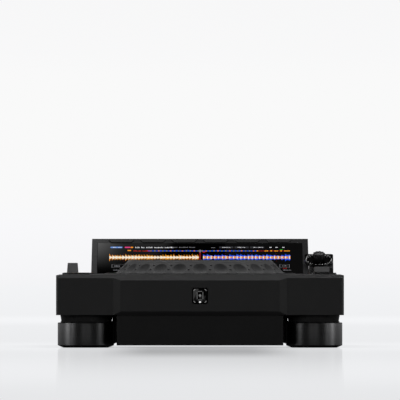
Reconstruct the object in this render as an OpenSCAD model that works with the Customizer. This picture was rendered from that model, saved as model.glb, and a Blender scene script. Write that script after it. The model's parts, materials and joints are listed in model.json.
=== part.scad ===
// Table-top media player for a disc jockey: a flat case on four round feet,
// a large jog wheel, a sloping touch display and rows of spring keys.
// Millimetres. +X right, +Y to the back, +Z up. The origin is on the table,
// under the middle of the whole box (case and rear sockets).

/* [Case] */
// Width of the case
body_w = 329; // [324:1:344]
// Depth of the case, without the rear sockets
body_d = 445; // [440:1:460]
// Height of the deck above the table
deck_z = 84; // [81:0.5:86]
// Height of the case's lower edge above the table
skirt_z = 37.2; // [36:0.1:39]
// Wall of the case shells
wall = 3; // [2.5:0.1:3.5]
// Cut on the four upright corners
corner_cut = 2.4; // [1:0.1:4]
// How far the middle of the front stands out
bulge_out = 4.2; // [2:0.1:5]
// Width of the middle face
bulge_w = 182; // [170:1:190]
// Width of each slanting face beside it
bulge_slant = 8.3; // [5:0.1:12]
// Run of the bevel along the front of the deck
bevel_run = 6.8; // [4:0.1:8]
// Fall of that bevel for each millimetre of run
bevel_fall = 0.64; // [0.5:0.01:0.7]

// Width of the deck's lower border at each side
border_run = 8; // [6:0.5:8]
// How far that border lies below the deck
border_fall = 1.1; // [0.6:0.1:1.4]

/* [Lower case] */
// Width of the flat tray to each side of the deep middle tub
tray_w = 69.2; // [67.6:0.1:75]
// Height of the tub's floor above the table
tub_z = 2.6; // [2.4:0.1:6]
// How far the tub's faces stand back from the case's front and rear
tub_back = 1.8; // [1:0.1:2.4]
// How far the ribs at the tub's rear end stand out at its sides
rib_out = 7.2; // [5:0.1:8]
// Thickness of those ribs
rib_t = 8; // [4:0.5:8]
// Gap between the lower case and the upper case's walls
shell_gap = 0.2; // [0.1:0.05:0.4]

/* [Feet] */
// Outer diameter of a foot
foot_d = 64.5; // [60:0.5:66]
// Height of a foot with its pad
foot_h = 28.7; // [26:0.1:30]
// Distance of the feet's middle from the case's sides
foot_side = 33.8; // [33.6:0.1:35.4]
// Distance of their middle from the case's front and rear
foot_in = 38.5; // [37:0.5:42]
// Wall of the metal cup
foot_wall = 5; // [4:0.1:7]
// Height of the rubber pad that shows
pad_h = 2.6; // [2:0.1:3.4]
// Width of the pad's slanting edge
pad_cut = 6.6; // [4:0.1:8]
// Diameter of the collar where it meets the case
collar_d = 58.6; // [54:0.1:60]
// Diameter of the collar where it meets the foot
collar_low_d = 55.6; // [50:0.1:58]
// Diameter of the foot bolt
bolt_d = 6; // [5:0.5:6]

/* [Jog wheel] */
// Distance of the wheel's axis behind the case's front
jog_in = 133; // [131:0.5:136]
// Diameter of the wheel at its skirt
jog_d = 206; // [202:1:208]
// Diameter of the wheel at its shoulder
jog_rim_d = 169; // [164:0.2:170]
// Height of the shoulder above the deck
jog_rise = 13.6; // [13:0.1:16]
// Distance of the flat metal plate inside the shoulder
plate_inset = 0.4; // [0.2:0.1:2]
// Thickness of that plate
plate_t = 2.6; // [1.5:0.1:3]
// Number of finger dimples round the wheel
dimple_n = 24; // [20:1:26]
// Diameter of a dimple
dimple_d = 16.8; // [14:0.1:17.4]
// Depth of a dimple
dimple_deep = 3.3; // [2:0.1:3.4]
// Distance of a dimple's middle from the shoulder, down the cone
dimple_down = 11; // [9.4:0.1:13]
// Width of the raised bezel round the wheel
bezel_w = 9.4; // [8:0.1:12]
// Height of that bezel above the deck
bezel_h = 0.8; // [0.6:0.1:2]
// Gap between wheel and bezel, across the deck
bezel_gap = 2.2; // [1.6:0.1:3]
// Diameter of the round display in the wheel's middle
hub_window_d = 66; // [62:1:67]
// Bore of the wheel's hub, where the bearing sits
hub_bore_d = 70; // [69:0.5:74]
// Diameter of the spindle inside the bearing
spindle_d = 56; // [52:0.5:58]
// Height of the bearing
bearing_h = 9; // [7:0.5:12]
// Diameter of the slotted encoder disc
encoder_d = 122; // [110:1:130]

/* [Display] */
// Distance of the sloping display housing from the case's sides
pod_side = 38.3; // [37:0.1:40]
// Distance of its front edge behind the case's front
pod_in = 264.7; // [264:0.1:268]
// Height of that edge above the deck
pod_lip = 0.64; // [0.6:0.02:2]
// Slope of the housing's face
pod_tilt = 13.4; // [12.8:0.1:13.8]
// Distance of its upper edge from the case's rear
pod_back = 13; // [12:0.5:16]
// Wall of the housing
pod_wall = 2.5; // [2:0.1:3]
// Width of the housing's side frame beside the glass
frame_w = 7; // [6:0.1:8]
// Distance of the glass from the upper edge
glass_down = 21.2; // [20.6:0.1:22.4]
// Distance of the glass from the lower edge
glass_up = 5; // [4.4:0.1:8]
// Thickness of the glass
glass_t = 1.3; // [1.2:0.1:2]
// Distance of the display panel's sides from the glass's sides
panel_side = 8.2; // [6.5:0.1:12]
// Distance of its ends from the glass's ends
panel_end = 4; // [3.4:0.1:6]
// Thickness of the display panel
panel_t = 5; // [4:0.1:6]
// Space between two of the six keys above the glass
menu_space = 7.1; // [6.6:0.1:11]
// Distance of the first and last key's outer space from the housing's sides
menu_side = 15.9; // [13:0.1:20]
// Depth of such a key down the slope
menu_d = 11.6; // [9:0.1:11.8]
// Distance of the keys from the upper edge
menu_down = 8; // [6:0.1:8.2]
// How far the keys stand out of the frame
menu_rise = 0.9; // [0.5:0.1:1.4]

/* [Browse knob] */
// Distance of the knob's middle from the case's side
browse_side = 26.4; // [25.8:0.1:27]
// Distance of the knob behind the case's front
browse_in = 295; // [290:0.5:298]
// Slope of the knob's stand
browse_tilt = 23.5; // [22:0.5:25]
// Height of the ring's middle above the deck
browse_rise = 16.5; // [15.8:0.1:17]
// Diameter of the ring round the knob
ring_d = 33.2; // [32:0.1:33.4]
// Thickness of the ring
ring_t = 3; // [2.6:0.1:3.4]
// Radius of the ring's two rear corners
ring_corner = 2.5; // [1:0.5:5]
// Depth of the dish in the ring
ring_dish = 1.8; // [1:0.1:2]
// Diameter of the knob
browse_d = 14; // [13:0.1:15]
// Height of the knob
browse_h = 8.6; // [8:0.1:11]

/* [Keys and knobs] */
// Diameter of the play and cue buttons
play_d = 30.5; // [29:0.1:31]
// How far they stand above the deck
play_rise = 1.8; // [1.5:0.1:2.6]
// Width of a hot-cue key
cue_w = 23; // [20:0.5:24]
// Depth of a hot-cue key, front to back
cue_depth = 12.5; // [11:0.1:13]
// Distance between two hot-cue keys
cue_pitch = 27.5; // [27:0.1:28]
// How far the small keys stand above the deck
key_rise = 1.4; // [0.8:0.1:1.8]
// Diameter of the small round keys
round_d = 14; // [12:0.5:14.5]
// Width of the track and search keys
seek_w = 14; // [12:0.5:14.5]
// Depth of the track and search keys, front to back
seek_depth = 9; // [8:0.1:10]
// Distance of the play button's middle behind the case's front
play_in = 31; // [28:0.5:32]
// Distance from the play button to the cue button
play_pitch = 38; // [36:0.5:39]
// Distance of the two track keys behind the case's front
track_in = 101; // [99:0.5:102]
// Distance of the two search keys behind the case's front
search_in = 118; // [116:0.5:120]
// Distance of the lever behind the case's front
lever_in = 160; // [156:0.5:164]
// Distance of the two loop keys behind the case's front
loop_in = 201; // [198:0.5:203]
// Distance of the third loop key behind the case's front
reloop_in = 224; // [222:0.5:228]
// Distance of the row of hot-cue keys behind the case's front
hot_in = 255; // [254:0.1:256]
// Distance of the two keys on the right behind the case's front
sync_in = 172; // [168:0.5:174]
// Distance of the first small knob behind the case's front
trim_in = 203; // [200:0.5:205]
// Distance between the two small knobs
trim_pitch = 25; // [22:0.5:26]
// Distance of the left column's middle from the case's side
left_side = 23.4; // [22.4:0.1:24]
// Distance of the lever's middle from the case's side
lever_side = 17.8; // [16.4:0.1:18.4]
// Distance of the outer key on the right from the case's side
sync_side = 14.2; // [13.4:0.1:15]
// Distance between the two keys on the right
sync_pitch = 20.5; // [19:0.5:21]
// Distance of the small knobs' middle from the case's side
trim_side = 31.5; // [30:0.1:34]
// Travel of every key
key_travel = 1.2; // [0.8:0.1:1.4]
// Gap round a key in its hole
key_gap = 0.4; // [0.3:0.05:0.6]
// Width of the lip that keeps a key in its hole
key_lip = 1; // [0.8:0.1:1.2]
// Width of the direction lever at its top
lever_w = 11.5; // [11:0.1:13]
// Height of the lever above the deck
lever_rise = 12.8; // [11:0.1:15]
// Swing of the lever to each side
lever_swing = 10; // [6:1:10]
// Diameter of the two small knobs
trim_d = 16; // [14:0.5:17]
// Height of their tops above the deck
trim_rise = 6.6; // [6:0.1:8]

/* [Tempo fader] */
// Distance of the fader's middle from the case's side
fader_side = 24.7; // [23.5:0.1:26.5]
// Width of the slider cap and of its plate
cap_w = 17; // [15:0.5:18]
// Length of the slider cap
cap_l = 26; // [22:0.5:28]
// Height of the slider cap
cap_h = 5.7; // [5:0.1:7]
// Travel of the slider from end to end
fader_travel = 100; // [90:1:102]
// Height of the fader's plate above the deck
fader_plate_h = 2; // [1.2:0.1:2]

/* [Rear and top sockets] */
// How far the phono sockets stand out behind the case
jack_out = 9; // [8:0.5:11]
// Diameter of a phono socket's barrel
jack_d = 8.3; // [8:0.1:8.6]
// Thickness of the steel rear panel
panel_steel = 1.5; // [1:0.1:2]
// Width of the opening in the power inlet
inlet_w = 24; // [22:0.5:25]
// Height of the opening in the power inlet
inlet_h = 16; // [15:0.5:17]
// Width of the opening in the network socket
net_w = 11.8; // [11:0.1:13]
// Height of the opening in the network socket
net_h = 8.2; // [7:0.1:9]
// Width of the slot in the top socket
usb_w = 12.6; // [12:0.1:13]
// Width of that slot, front to back
usb_depth = 5; // [4.8:0.1:5.4]

/* [Badge] */
// Width of the touch badge in the front
badge_w = 18; // [16:0.5:20]
// Height of the touch badge
badge_h = 18.4; // [16:0.1:20]
// Height of the badge's middle above the table
badge_z = 59.3; // [57:0.1:61]
// Depth of its pocket
badge_t = 1.6; // [1:0.1:2.4]

/* [Hidden] */

$fn = 96;

// The case, front to back and side to side
front_y = -(body_d + jack_out) / 2;
rear_y = front_y + body_d;
side_y = front_y + bulge_out;
half_w = body_w / 2;
bevel_root = sqrt(1 + bevel_fall * bevel_fall);
tub_w = body_w - 2 * tray_w;
tray_top = skirt_z + wall;
under_deck = deck_z - wall;

// The jog wheel
jog_y = front_y + jog_in;
rim_z = deck_z + jog_rise;
skirt_low_z = rim_z - (jog_d - jog_rim_d) / 2;
jog_wall = 7;
jog_web = 3;
plate_foot = 0.4;
border_step = 0.8;
jog_edge = 1.6;
hub_wall = 4;
hub_low_z = deck_z - 23;
bezel_in_r = jog_rim_d / 2 + jog_rise + bezel_gap;
bezel_out_r = bezel_in_r + bezel_w;
well_r = jog_d / 2 + 2.5;

// The display housing: its upper edge, and its lower front edge
pod_w = body_w - 2 * pod_side;
pod_top_y = rear_y - pod_back;
pod_front_y = front_y + pod_in;
pod_front_z = deck_z + pod_lip;
pod_len = (pod_top_y - pod_front_y) / cos(pod_tilt);
pod_top = pod_front_z + pod_len * sin(pod_tilt);
pod_cap = 4;
pod_rear_y = rear_y - 3;
glass_w = pod_w - 2 * frame_w;
glass_len = pod_len - glass_down - glass_up;
glass_fit = 0.2;
panel_w = glass_w - 2 * panel_side;
panel_len = glass_len - 2 * panel_end;
panel_gap = 1;
menu_pitch = (pod_w - 2 * menu_side) / 6;
menu_w = menu_pitch - menu_space;
menu_taper = 3;

// The browse knob's stand, beside the display housing
browse_x = half_w - browse_side;
browse_y = front_y + browse_in;
browse_z = deck_z + browse_rise;
stand_x0 = pod_w / 2 + 0.3;
stand_x1 = browse_x + ring_d / 2;
stand_half = ring_d / 2 * cos(browse_tilt);
stand_top_z = browse_z - ring_t / cos(browse_tilt);
shaft_r = 3;
shaft_fit = 0.06;
browse_push = 0.6;
browse_gap = 0.4;

// Keys: the parts below the deck
lip_z = under_deck - 2.4;
lip_t = 2;
lip_gap = lip_z + lip_t;
key_low_z = lip_z - 1.6;
board_t = 1.6;
board_z = key_low_z - 6;
switch_top_z = key_low_z - key_travel - 0.3;
switch_w = 6;
board_left = 10.5;
board_w = 26;
lever_free = 14;

// Places of the keys on the deck
left_x = left_side - half_w;
play_y = front_y + play_in;
cue_y = play_y + play_pitch;
track_y = front_y + track_in;
search_y = front_y + search_in;
seek_out = 10;
seek_pitch = 17.5;
seek_x = [left_x - seek_out, left_x - seek_out + seek_pitch];
lever_x = lever_side - half_w;
lever_y = front_y + lever_in;
loop_y = front_y + loop_in;
loop_out = 8;
loop_pitch = 20;
loop_x = [left_x - loop_out, left_x - loop_out + loop_pitch];
reloop_x = left_x + 2;
reloop_y = front_y + reloop_in;
hot_y = front_y + hot_in;
sync_y = front_y + sync_in;
sync_x = [half_w - sync_side - sync_pitch, half_w - sync_side];
trim_x = half_w - trim_side;
trim_y = [front_y + trim_in, front_y + trim_in + trim_pitch];

// The direction lever's pivot
pivot_z = deck_z - 9;
pivot_r = 2;
pivot_fit = 0.06;
lug_t = 3;
lug_gap = 0.4;
lever_base = lever_w + 2;
lever_foot = 9;
lever_tip = 6;
lever_slot = lever_foot + 2 * (deck_z - pivot_z) * tan(lever_swing) + 2.4;

// The tempo fader
fader_in = 87;
fader_x = half_w - fader_side;
fader_y = front_y + fader_in;
slot_w = 3;
slot_l = fader_travel + 8;
plate_l = fader_travel + cap_l + 8;
cap_low_z = deck_z + fader_plate_h + 0.6;
stem_w = 1.6;
stem_l = 5;
stem_low_z = under_deck - 5;

// Screws: eight for the case, one bolt for each foot
screw_x = half_w - 7.5;
screw_y = [front_y + 50, front_y + 149, front_y + 290, rear_y - 20];
screw_r = 1.5;
screw_fit = 0.2;
post_r = 4;
head_r = 2.75;
head_t = 1.8;
foot_x = half_w - foot_side;
foot_y = [front_y + foot_in, rear_y - foot_in];
foot_web = 4;
bolt_r = bolt_d / 2;
bolt_fit = 0.2;
bolt_head_r = 5;
bolt_head_h = 4;
bolt_boss_r = 8;
bolt_boss_h = 8;
driver_room = 3;

// The rear panel and what it carries
window_w = 232;
window_low = tray_top + 5.7;
window_high = under_deck - 6;
panel_y = rear_y - wall - panel_steel;
jack_z = (window_low + window_high) / 2;
jack_x = [-30, -10, 16];
jack_flange_r = 6.4;
inlet_x = -84;
inlet_deep = 17;
inlet_wall = 2.4;
net_x = 56;
net_deep = 13;
net_wall = 2;
button_x = 96;
button_r = 5;
button_out = 3;
button_travel = 2.5;
usb_side = 18;
usb_x = usb_side - half_w;
usb_y = rear_y - 62;
usb_deep = 12;
usb_wall = 1.4;
usb_recess = 3.4;

// ---------------------------------------------------------------- helpers

// Extrudes a side profile, given as [y, z] points, across the width
module across(points, width) {
    rotate([90, 0, 90])
        linear_extrude(height = width, center = true)
            polygon(points);
}

// A block given by its middle in x and y and its lowest and highest z
module block(x, y, z0, z1, w, d) {
    translate([x - w / 2, y - d / 2, z0])
        cube([w, d, z1 - z0]);
}

// An upright rod between two heights
module rod(x, y, z0, z1, r) {
    translate([x, y, z0])
        cylinder(h = z1 - z0, r = r);
}

// Puts its children on the display's face: y runs up the slope, z out of it
module on_display() {
    translate([0, pod_top_y, pod_top])
        rotate([pod_tilt, 0, 0])
            children();
}

// Puts its children on the browse ring's upper face
module on_browse() {
    translate([browse_x, browse_y, browse_z])
        rotate([browse_tilt, 0, 0])
            children();
}

// ------------------------------------------------------------------- case

// Outline of the case seen from above
module case_plan() {
    face = bulge_w / 2;
    c = corner_cut;
    polygon([
        [-half_w, side_y + c], [-half_w + c, side_y], [-face - bulge_slant, side_y],
        [-face, front_y], [face, front_y],
        [face + bulge_slant, side_y], [half_w - c, side_y], [half_w, side_y + c],
        [half_w, rear_y - c], [half_w - c, rear_y], [-half_w + c, rear_y], [-half_w, rear_y - c]
    ]);
}

// Takes off everything above the front bevel, for the outer or the inner face
module bevel_cut(top, inset) {
    y0 = side_y + bevel_run + inset * (bevel_root - 1) / bevel_fall;
    reach = bevel_run + bulge_out + 10;
    across([[y0, top], [y0, top + 9], [y0 - reach, top + 9], [y0 - reach, top - reach * bevel_fall]],
        body_w + 2);
}

// What the deck's border lies below, at one side, with a slanting step
module border_cut(side) {
    edge = half_w - border_run;
    rotate([90, 0, 0])
        linear_extrude(height = 2 * body_d, center = true)
            polygon([
                [side * edge, deck_z + 1], [side * edge, deck_z],
                [side * (edge + border_step), deck_z - border_fall],
                [side * (half_w + 1), deck_z - border_fall], [side * (half_w + 1), deck_z + 1]
            ]);
}

module case_outside() {
    difference() {
        translate([0, 0, skirt_z])
            linear_extrude(height = deck_z - skirt_z)
                case_plan();
        bevel_cut(deck_z, 0);
        for (side = [-1, 1])
            border_cut(side);
        // the underside rises to the middle face
        across([[side_y, skirt_z], [side_y, skirt_z - 1], [front_y - 2, skirt_z - 1],
            [front_y - 2, skirt_z + bulge_out + 2]], body_w + 2);
    }
}

module case_inside() {
    difference() {
        translate([-half_w + wall, side_y + wall, skirt_z - 1])
            cube([body_w - 2 * wall, rear_y - side_y - 2 * wall, under_deck - skirt_z + 1]);
        bevel_cut(under_deck, wall);
    }
}

// A round hole through the deck
module deck_hole(x, y, d) {
    rod(x, y, under_deck - 1, deck_z + 4, d / 2 + key_gap);
}

// A straight-sided hole through the deck
module deck_slot(x, y, w, d) {
    block(x, y, under_deck - 1, deck_z + 4, w + 2 * key_gap, d + 2 * key_gap);
}

module deck_holes() {
    rod(0, jog_y, under_deck - 1, deck_z - 0.6, well_r);
    rod(0, jog_y, under_deck - 1, deck_z + bezel_h + 1, bezel_in_r);
    // under the display
    block(0, (pod_front_y + pod_top_y) / 2, under_deck - 1, deck_z + 1,
        panel_w + 8, pod_top_y - pod_front_y - 8);
    for (y = [play_y, cue_y])
        deck_hole(left_x, y, play_d);
    for (x = seek_x, y = [track_y, search_y])
        deck_slot(x, y, seek_w, seek_depth);
    for (x = loop_x)
        deck_hole(x, loop_y, round_d);
    deck_hole(reloop_x, reloop_y, round_d);
    for (x = sync_x)
        deck_hole(x, sync_y, round_d);
    for (y = trim_y)
        deck_hole(trim_x, y, 2 * shaft_r);
    for (i = [0:7])
        deck_slot((i - 3.5) * cue_pitch, hot_y, cue_w, cue_depth);
    block(lever_x, lever_y, under_deck - 1, deck_z + 1, lever_base + 1, lever_slot);
    block(fader_x, fader_y, under_deck - 1, deck_z + 1, slot_w, slot_l);
    block(usb_x, usb_y, under_deck - 1, deck_z + 1, usb_w, usb_depth);
    // for the browse knob's shaft and switch
    block(browse_x, browse_y + 6, under_deck - 1, deck_z + 1, 14, 14);
}

// Two lugs under the deck that hold the lever's pivot
module lever_lugs() {
    for (side = [-1, 1])
        difference() {
            block(lever_x + side * (lever_base / 2 + lug_gap + lug_t / 2), lever_y,
                pivot_z - 5, under_deck + 1, lug_t, 12);
            translate([lever_x, lever_y, pivot_z])
                rotate([0, 90, 0])
                    cylinder(h = 60, r = pivot_r + pivot_fit, center = true);
        }
}

module top_case() {
    color("#222222")
    difference() {
        union() {
            difference() {
                case_outside();
                case_inside();
            }
            // raised bezel round the jog wheel
            rod(0, jog_y, deck_z - 1, deck_z + bezel_h, bezel_out_r);
            for (side = [-1, 1], y = screw_y)
                rod(side * screw_x, y, tray_top, under_deck + 1, post_r);
            lever_lugs();
        }
        deck_holes();
        for (side = [-1, 1], y = screw_y)
            rod(side * screw_x, y, tray_top - 1, under_deck - 6, screw_r);
        // window for the rear panel
        block(0, rear_y, window_low, window_high, window_w, 4 * wall);
        // pocket for the badge
        block(0, front_y, badge_z - badge_h / 2 - 0.15, badge_z + badge_h / 2 + 0.15,
            badge_w + 0.3, 2 * badge_t);
    }
}

module lower_case() {
    front = side_y + tub_back;
    rear = rear_y - tub_back;
    w = body_w - 2 * wall - 2 * shell_gap;
    y0 = side_y + wall + shell_gap;
    y1 = rear_y - wall - shell_gap;
    color("#1a1a1a")
    difference() {
        union() {
            translate([-w / 2, y0, skirt_z])
                cube([w, y1 - y0, wall]);
            translate([-tub_w / 2, front, tub_z])
                cube([tub_w, rear - front, skirt_z - tub_z]);
            // ribs between the trays and the rear end of the tub
            translate([-tub_w / 2 - rib_out, rear - rib_t, tub_z])
                cube([tub_w + 2 * rib_out, rib_t, skirt_z - tub_z]);
            for (side = [-1, 1], y = foot_y)
                rod(side * foot_x, y, skirt_z + 1, tray_top + bolt_boss_h, bolt_boss_r);
        }
        translate([-tub_w / 2 + wall, y0 + wall, tub_z + wall])
            cube([tub_w - 2 * wall, y1 - y0 - 2 * wall, skirt_z]);
        for (side = [-1, 1], y = foot_y)
            rod(side * foot_x, y, skirt_z - 1, tray_top + bolt_boss_h - 2, bolt_r);
        for (side = [-1, 1], y = screw_y) {
            rod(side * screw_x, y, skirt_z - 1, tray_top + 1, screw_r + screw_fit);
            rod(side * screw_x, y, skirt_z - 1, skirt_z + head_t, head_r + screw_fit);
        }
    }
}

// The touch badge in the middle of the front
module front_badge() {
    color("#0a0a0a")
        block(0, front_y + badge_t / 2, badge_z - badge_h / 2, badge_z + badge_h / 2,
            badge_w, badge_t);
}

// ------------------------------------------------------------------- feet

module at_feet() {
    for (side = [-1, 1], y = foot_y)
        translate([side * foot_x, y, 0])
            children();
}

module foot_collars() {
    color("#171717")
    at_feet()
        difference() {
            translate([0, 0, foot_h])
                cylinder(h = skirt_z - foot_h, r1 = collar_low_d / 2, r2 = collar_d / 2);
            translate([0, 0, foot_h - 1])
                cylinder(h = skirt_z - foot_h + 2, r = bolt_r + bolt_fit);
        }
}

module feet() {
    color("#2c2c2c")
    at_feet()
        rotate_extrude()
            polygon([
                [bolt_r + bolt_fit, foot_h], [foot_d / 2 - 0.6, foot_h], [foot_d / 2, foot_h - 0.6],
                [foot_d / 2, pad_h], [foot_d / 2 - foot_wall, pad_h],
                [foot_d / 2 - foot_wall, foot_h - foot_web], [bolt_r + bolt_fit, foot_h - foot_web]
            ]);
}

// Rubber pads: a slanting edge that shows, and a plug inside the cup
module foot_pads() {
    r = foot_d / 2;
    plug = r - foot_wall - 0.1;
    bore = bolt_head_r + driver_room;
    color("#0c0c0c")
    at_feet()
        rotate_extrude()
            polygon([
                [bore, 0], [r - pad_cut, 0], [r - 0.3, pad_h], [plug, pad_h],
                [plug, foot_h - foot_web], [bore, foot_h - foot_web]
            ]);
}

module screws() {
    color("silver") {
        for (side = [-1, 1], y = screw_y) {
            rod(side * screw_x, y, skirt_z, skirt_z + head_t, head_r);
            rod(side * screw_x, y, skirt_z + 1, tray_top + 14, screw_r);
        }
        at_feet() {
            translate([0, 0, foot_h - foot_web - bolt_head_h])
                cylinder(h = bolt_head_h, r = bolt_head_r);
            translate([0, 0, foot_h - foot_web - 1])
                cylinder(h = tray_top + bolt_boss_h - 3 - foot_h + foot_web + 1, r = bolt_r);
        }
    }
}

// ---------------------------------------------------------------- display

// A key above the glass, seen square to the slope: wide at its upper edge
module menu_plan(grow) {
    w = menu_w / 2 + grow;
    translate([0, -menu_down])
        polygon([[-w, grow], [w, grow], [w - menu_taper, -menu_d - grow], [-w + menu_taper, -menu_d - grow]]);
}

module at_menu(i) {
    on_display()
        translate([(i - 3.5) * menu_pitch, 0, 0])
            children();
}

module display_housing() {
    color("#262626")
    difference() {
        across([
            [pod_front_y, deck_z], [pod_front_y, pod_front_z], [pod_top_y, pod_top],
            [pod_top_y + pod_cap, pod_top - 0.6], [pod_rear_y, deck_z]
        ], pod_w);
        // hollow, under the sloping face and inside the rear wall
        intersection() {
            across([
                [pod_front_y + pod_wall, deck_z - 1], [pod_front_y + pod_wall, pod_top],
                [pod_top_y + pod_cap - pod_wall, pod_top], [pod_rear_y - pod_wall, deck_z - 1]
            ], pod_w - 2 * pod_wall);
            on_display()
                translate([0, -pod_len / 2, -pod_wall - 100])
                    cube([pod_w, 2 * pod_len, 200], center = true);
        }
        on_display() {
            translate([-glass_w / 2 - glass_fit, -glass_down - glass_len - glass_fit, -glass_t])
                cube([glass_w + 2 * glass_fit, glass_len + 2 * glass_fit, 10]);
            translate([-panel_w / 2 - panel_gap, -glass_down - (glass_len + panel_len) / 2 - panel_gap, -20])
                cube([panel_w + 2 * panel_gap, panel_len + 2 * panel_gap, 30]);
        }
        for (i = [1:6])
            at_menu(i)
                translate([0, 0, -pod_wall - 3])
                    linear_extrude(height = pod_wall + 6)
                        menu_plan(key_gap);
    }
}

module display_glass() {
    color("#050505")
    on_display()
        translate([-glass_w / 2, -glass_down - glass_len, -glass_t])
            cube([glass_w, glass_len, glass_t]);
}

module display_panel() {
    color("#101418")
    on_display()
        translate([-panel_w / 2, -glass_down - (glass_len + panel_len) / 2, -glass_t - panel_t])
            cube([panel_w, panel_len, panel_t]);
}

module menu_key(i) {
    color("#101010")
    at_menu(i) {
        translate([0, 0, -pod_wall - 2.6])
            linear_extrude(height = pod_wall + 2.6 + menu_rise)
                menu_plan(0);
        translate([0, 0, -pod_wall - 2.6])
            linear_extrude(height = 2.4)
                menu_plan(key_lip);
    }
}

module menu_key_1() { menu_key(1); }
module menu_key_2() { menu_key(2); }
module menu_key_3() { menu_key(3); }
module menu_key_4() { menu_key(4); }
module menu_key_5() { menu_key(5); }
module menu_key_6() { menu_key(6); }

// ------------------------------------------------------------ browse knob

module browse_stand() {
    y0 = browse_y - stand_half;
    y1 = browse_y + stand_half;
    rise = stand_half * tan(browse_tilt);
    w = stand_x1 - stand_x0;
    t = 3;
    color("#262626")
    difference() {
        translate([(stand_x0 + stand_x1) / 2, 0, 0])
            difference() {
                across([[y0, deck_z], [y0, stand_top_z - rise], [y1, stand_top_z + rise],
                    [y1 + 4, deck_z]], w);
                across([[y0 + t, deck_z - 1], [y0 + t, stand_top_z - rise - t],
                    [y1 - t, stand_top_z + rise - 2 * t], [y1 + 4 - 1.5 * t, deck_z - 1]], w - 2 * t);
            }
        on_browse()
            translate([0, 0, -30])
                cylinder(h = 40, r = shaft_r + shaft_fit);
    }
}

// The ring's outline, round in front and square at the rear
module ring_plan(inset) {
    r = ring_d / 2 - inset;
    hull() {
        circle(r = r);
        for (side = [-1, 1])
            translate([side * (r - ring_corner), r - ring_corner])
                circle(r = ring_corner);
    }
}

module browse_ring() {
    edge = 0.7;
    dish_r = ring_d / 2 - 3.2;
    color("#0d0d0d")
    on_browse()
        difference() {
            union() {
                translate([0, 0, -ring_t])
                    linear_extrude(height = ring_t - edge)
                        ring_plan(0);
                translate([0, 0, -ring_t])
                    linear_extrude(height = ring_t)
                        ring_plan(edge);
            }
            translate([0, 0, -ring_dish])
                cylinder(h = ring_dish + 0.4, r1 = dish_r - 0.4, r2 = dish_r + 0.6);
            translate([0, 0, -ring_t - 1])
                cylinder(h = ring_t, r = shaft_r + shaft_fit);
        }
}

module browse_shaft() {
    color("silver")
    on_browse() {
        translate([0, 0, -15])
            cylinder(h = 15 + browse_h - ring_dish - 3, r = shaft_r);
        translate([0, 0, -15])
            cylinder(h = 2, r = shaft_r + 1.5);
    }
}

module browse_knob() {
    low = -ring_dish + browse_push + browse_gap;
    flutes = 10;
    first = 27;
    flute_r = 2.2;
    flute_deep = 0.9;
    color("#0b0b0b")
    on_browse()
        difference() {
            translate([0, 0, low])
                cylinder(h = browse_h, r = browse_d / 2);
            for (i = [0:flutes - 1])
                rotate([0, 0, first + i * 360 / flutes])
                    translate([browse_d / 2 + flute_r - flute_deep, 0, low - 1])
                        cylinder(h = browse_h + 0.2, r = flute_r, $fn = 24);
            translate([0, 0, low - 1])
                cylinder(h = browse_h - ring_dish - 2.7 - low + 1, r = shaft_r + shaft_fit);
        }
}

// -------------------------------------------------------------- jog wheel

module at_jog() {
    translate([0, jog_y, 0])
        children();
}

module jog_wheel() {
    r = jog_d / 2;
    rim = jog_rim_d / 2;
    hub = hub_bore_d / 2;
    low = skirt_low_z - jog_edge;
    ball = (pow(dimple_d / 2, 2) + pow(dimple_deep, 2)) / (2 * dimple_deep);
    out = (ball - dimple_deep) * sqrt(0.5);
    down = dimple_down * sqrt(0.5);
    color("#3a3a3a")
    at_jog()
        difference() {
            rotate_extrude($fn = 192)
                polygon([
                    [hub, rim_z], [rim, rim_z], [r, skirt_low_z], [r, low], [r - jog_wall, low],
                    [r - jog_wall, skirt_low_z],
                    [rim + jog_web - jog_wall, rim_z - jog_web], [hub + hub_wall, rim_z - jog_web],
                    [hub + hub_wall, hub_low_z], [hub, hub_low_z]
                ]);
            for (i = [0:dimple_n - 1])
                rotate([0, 0, i * 360 / dimple_n])
                    translate([0, -rim - down - out, rim_z - down + out])
                        sphere(r = ball, $fn = 64);
        }
}

module jog_plate() {
    r = jog_rim_d / 2 - plate_inset;
    slope = plate_t - plate_foot;
    color("#1c1c1c")
    at_jog()
        difference() {
            union() {
                translate([0, 0, rim_z])
                    cylinder(h = plate_foot, r = r);
                translate([0, 0, rim_z + plate_foot])
                    cylinder(h = slope, r1 = r, r2 = r - slope);
            }
            translate([0, 0, rim_z - 1])
                cylinder(h = plate_t + 2, r = hub_window_d / 2 + 0.6);
        }
}

module encoder_disc() {
    z = hub_low_z + 2;
    color("#8a8a8a")
    at_jog()
        difference() {
            translate([0, 0, z])
                cylinder(h = 1, r = encoder_d / 2);
            translate([0, 0, z - 1])
                cylinder(h = 3, r = hub_bore_d / 2 + hub_wall);
            for (i = [0:35])
                rotate([0, 0, i * 10])
                    translate([encoder_d / 2 - 6, -0.8, z - 1])
                        cube([4, 1.6, 3]);
        }
}

// Post from the tub's floor up to the round display, with a flange below
module jog_spindle() {
    r = spindle_d / 2;
    color("#777777")
    at_jog()
        rotate_extrude()
            polygon([
                [r - 4, tub_z + wall], [r + 14, tub_z + wall], [r + 14, tub_z + wall + 4],
                [r, tub_z + wall + 4], [r, rim_z - 2.4], [r - 4, rim_z - 2.4]
            ]);
}

module jog_bearing() {
    z = hub_low_z + 6;
    color("silver")
    at_jog()
        difference() {
            translate([0, 0, z])
                cylinder(h = bearing_h, r = hub_bore_d / 2 - 0.05);
            translate([0, 0, z - 1])
                cylinder(h = bearing_h + 2, r = spindle_d / 2);
        }
}

module jog_display() {
    color("#080808")
    at_jog()
        translate([0, 0, rim_z - 2.4])
            cylinder(h = 2.4 + plate_t - 0.4, r = hub_window_d / 2);
}

// ---------------------------------------------------------- deck controls

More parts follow.
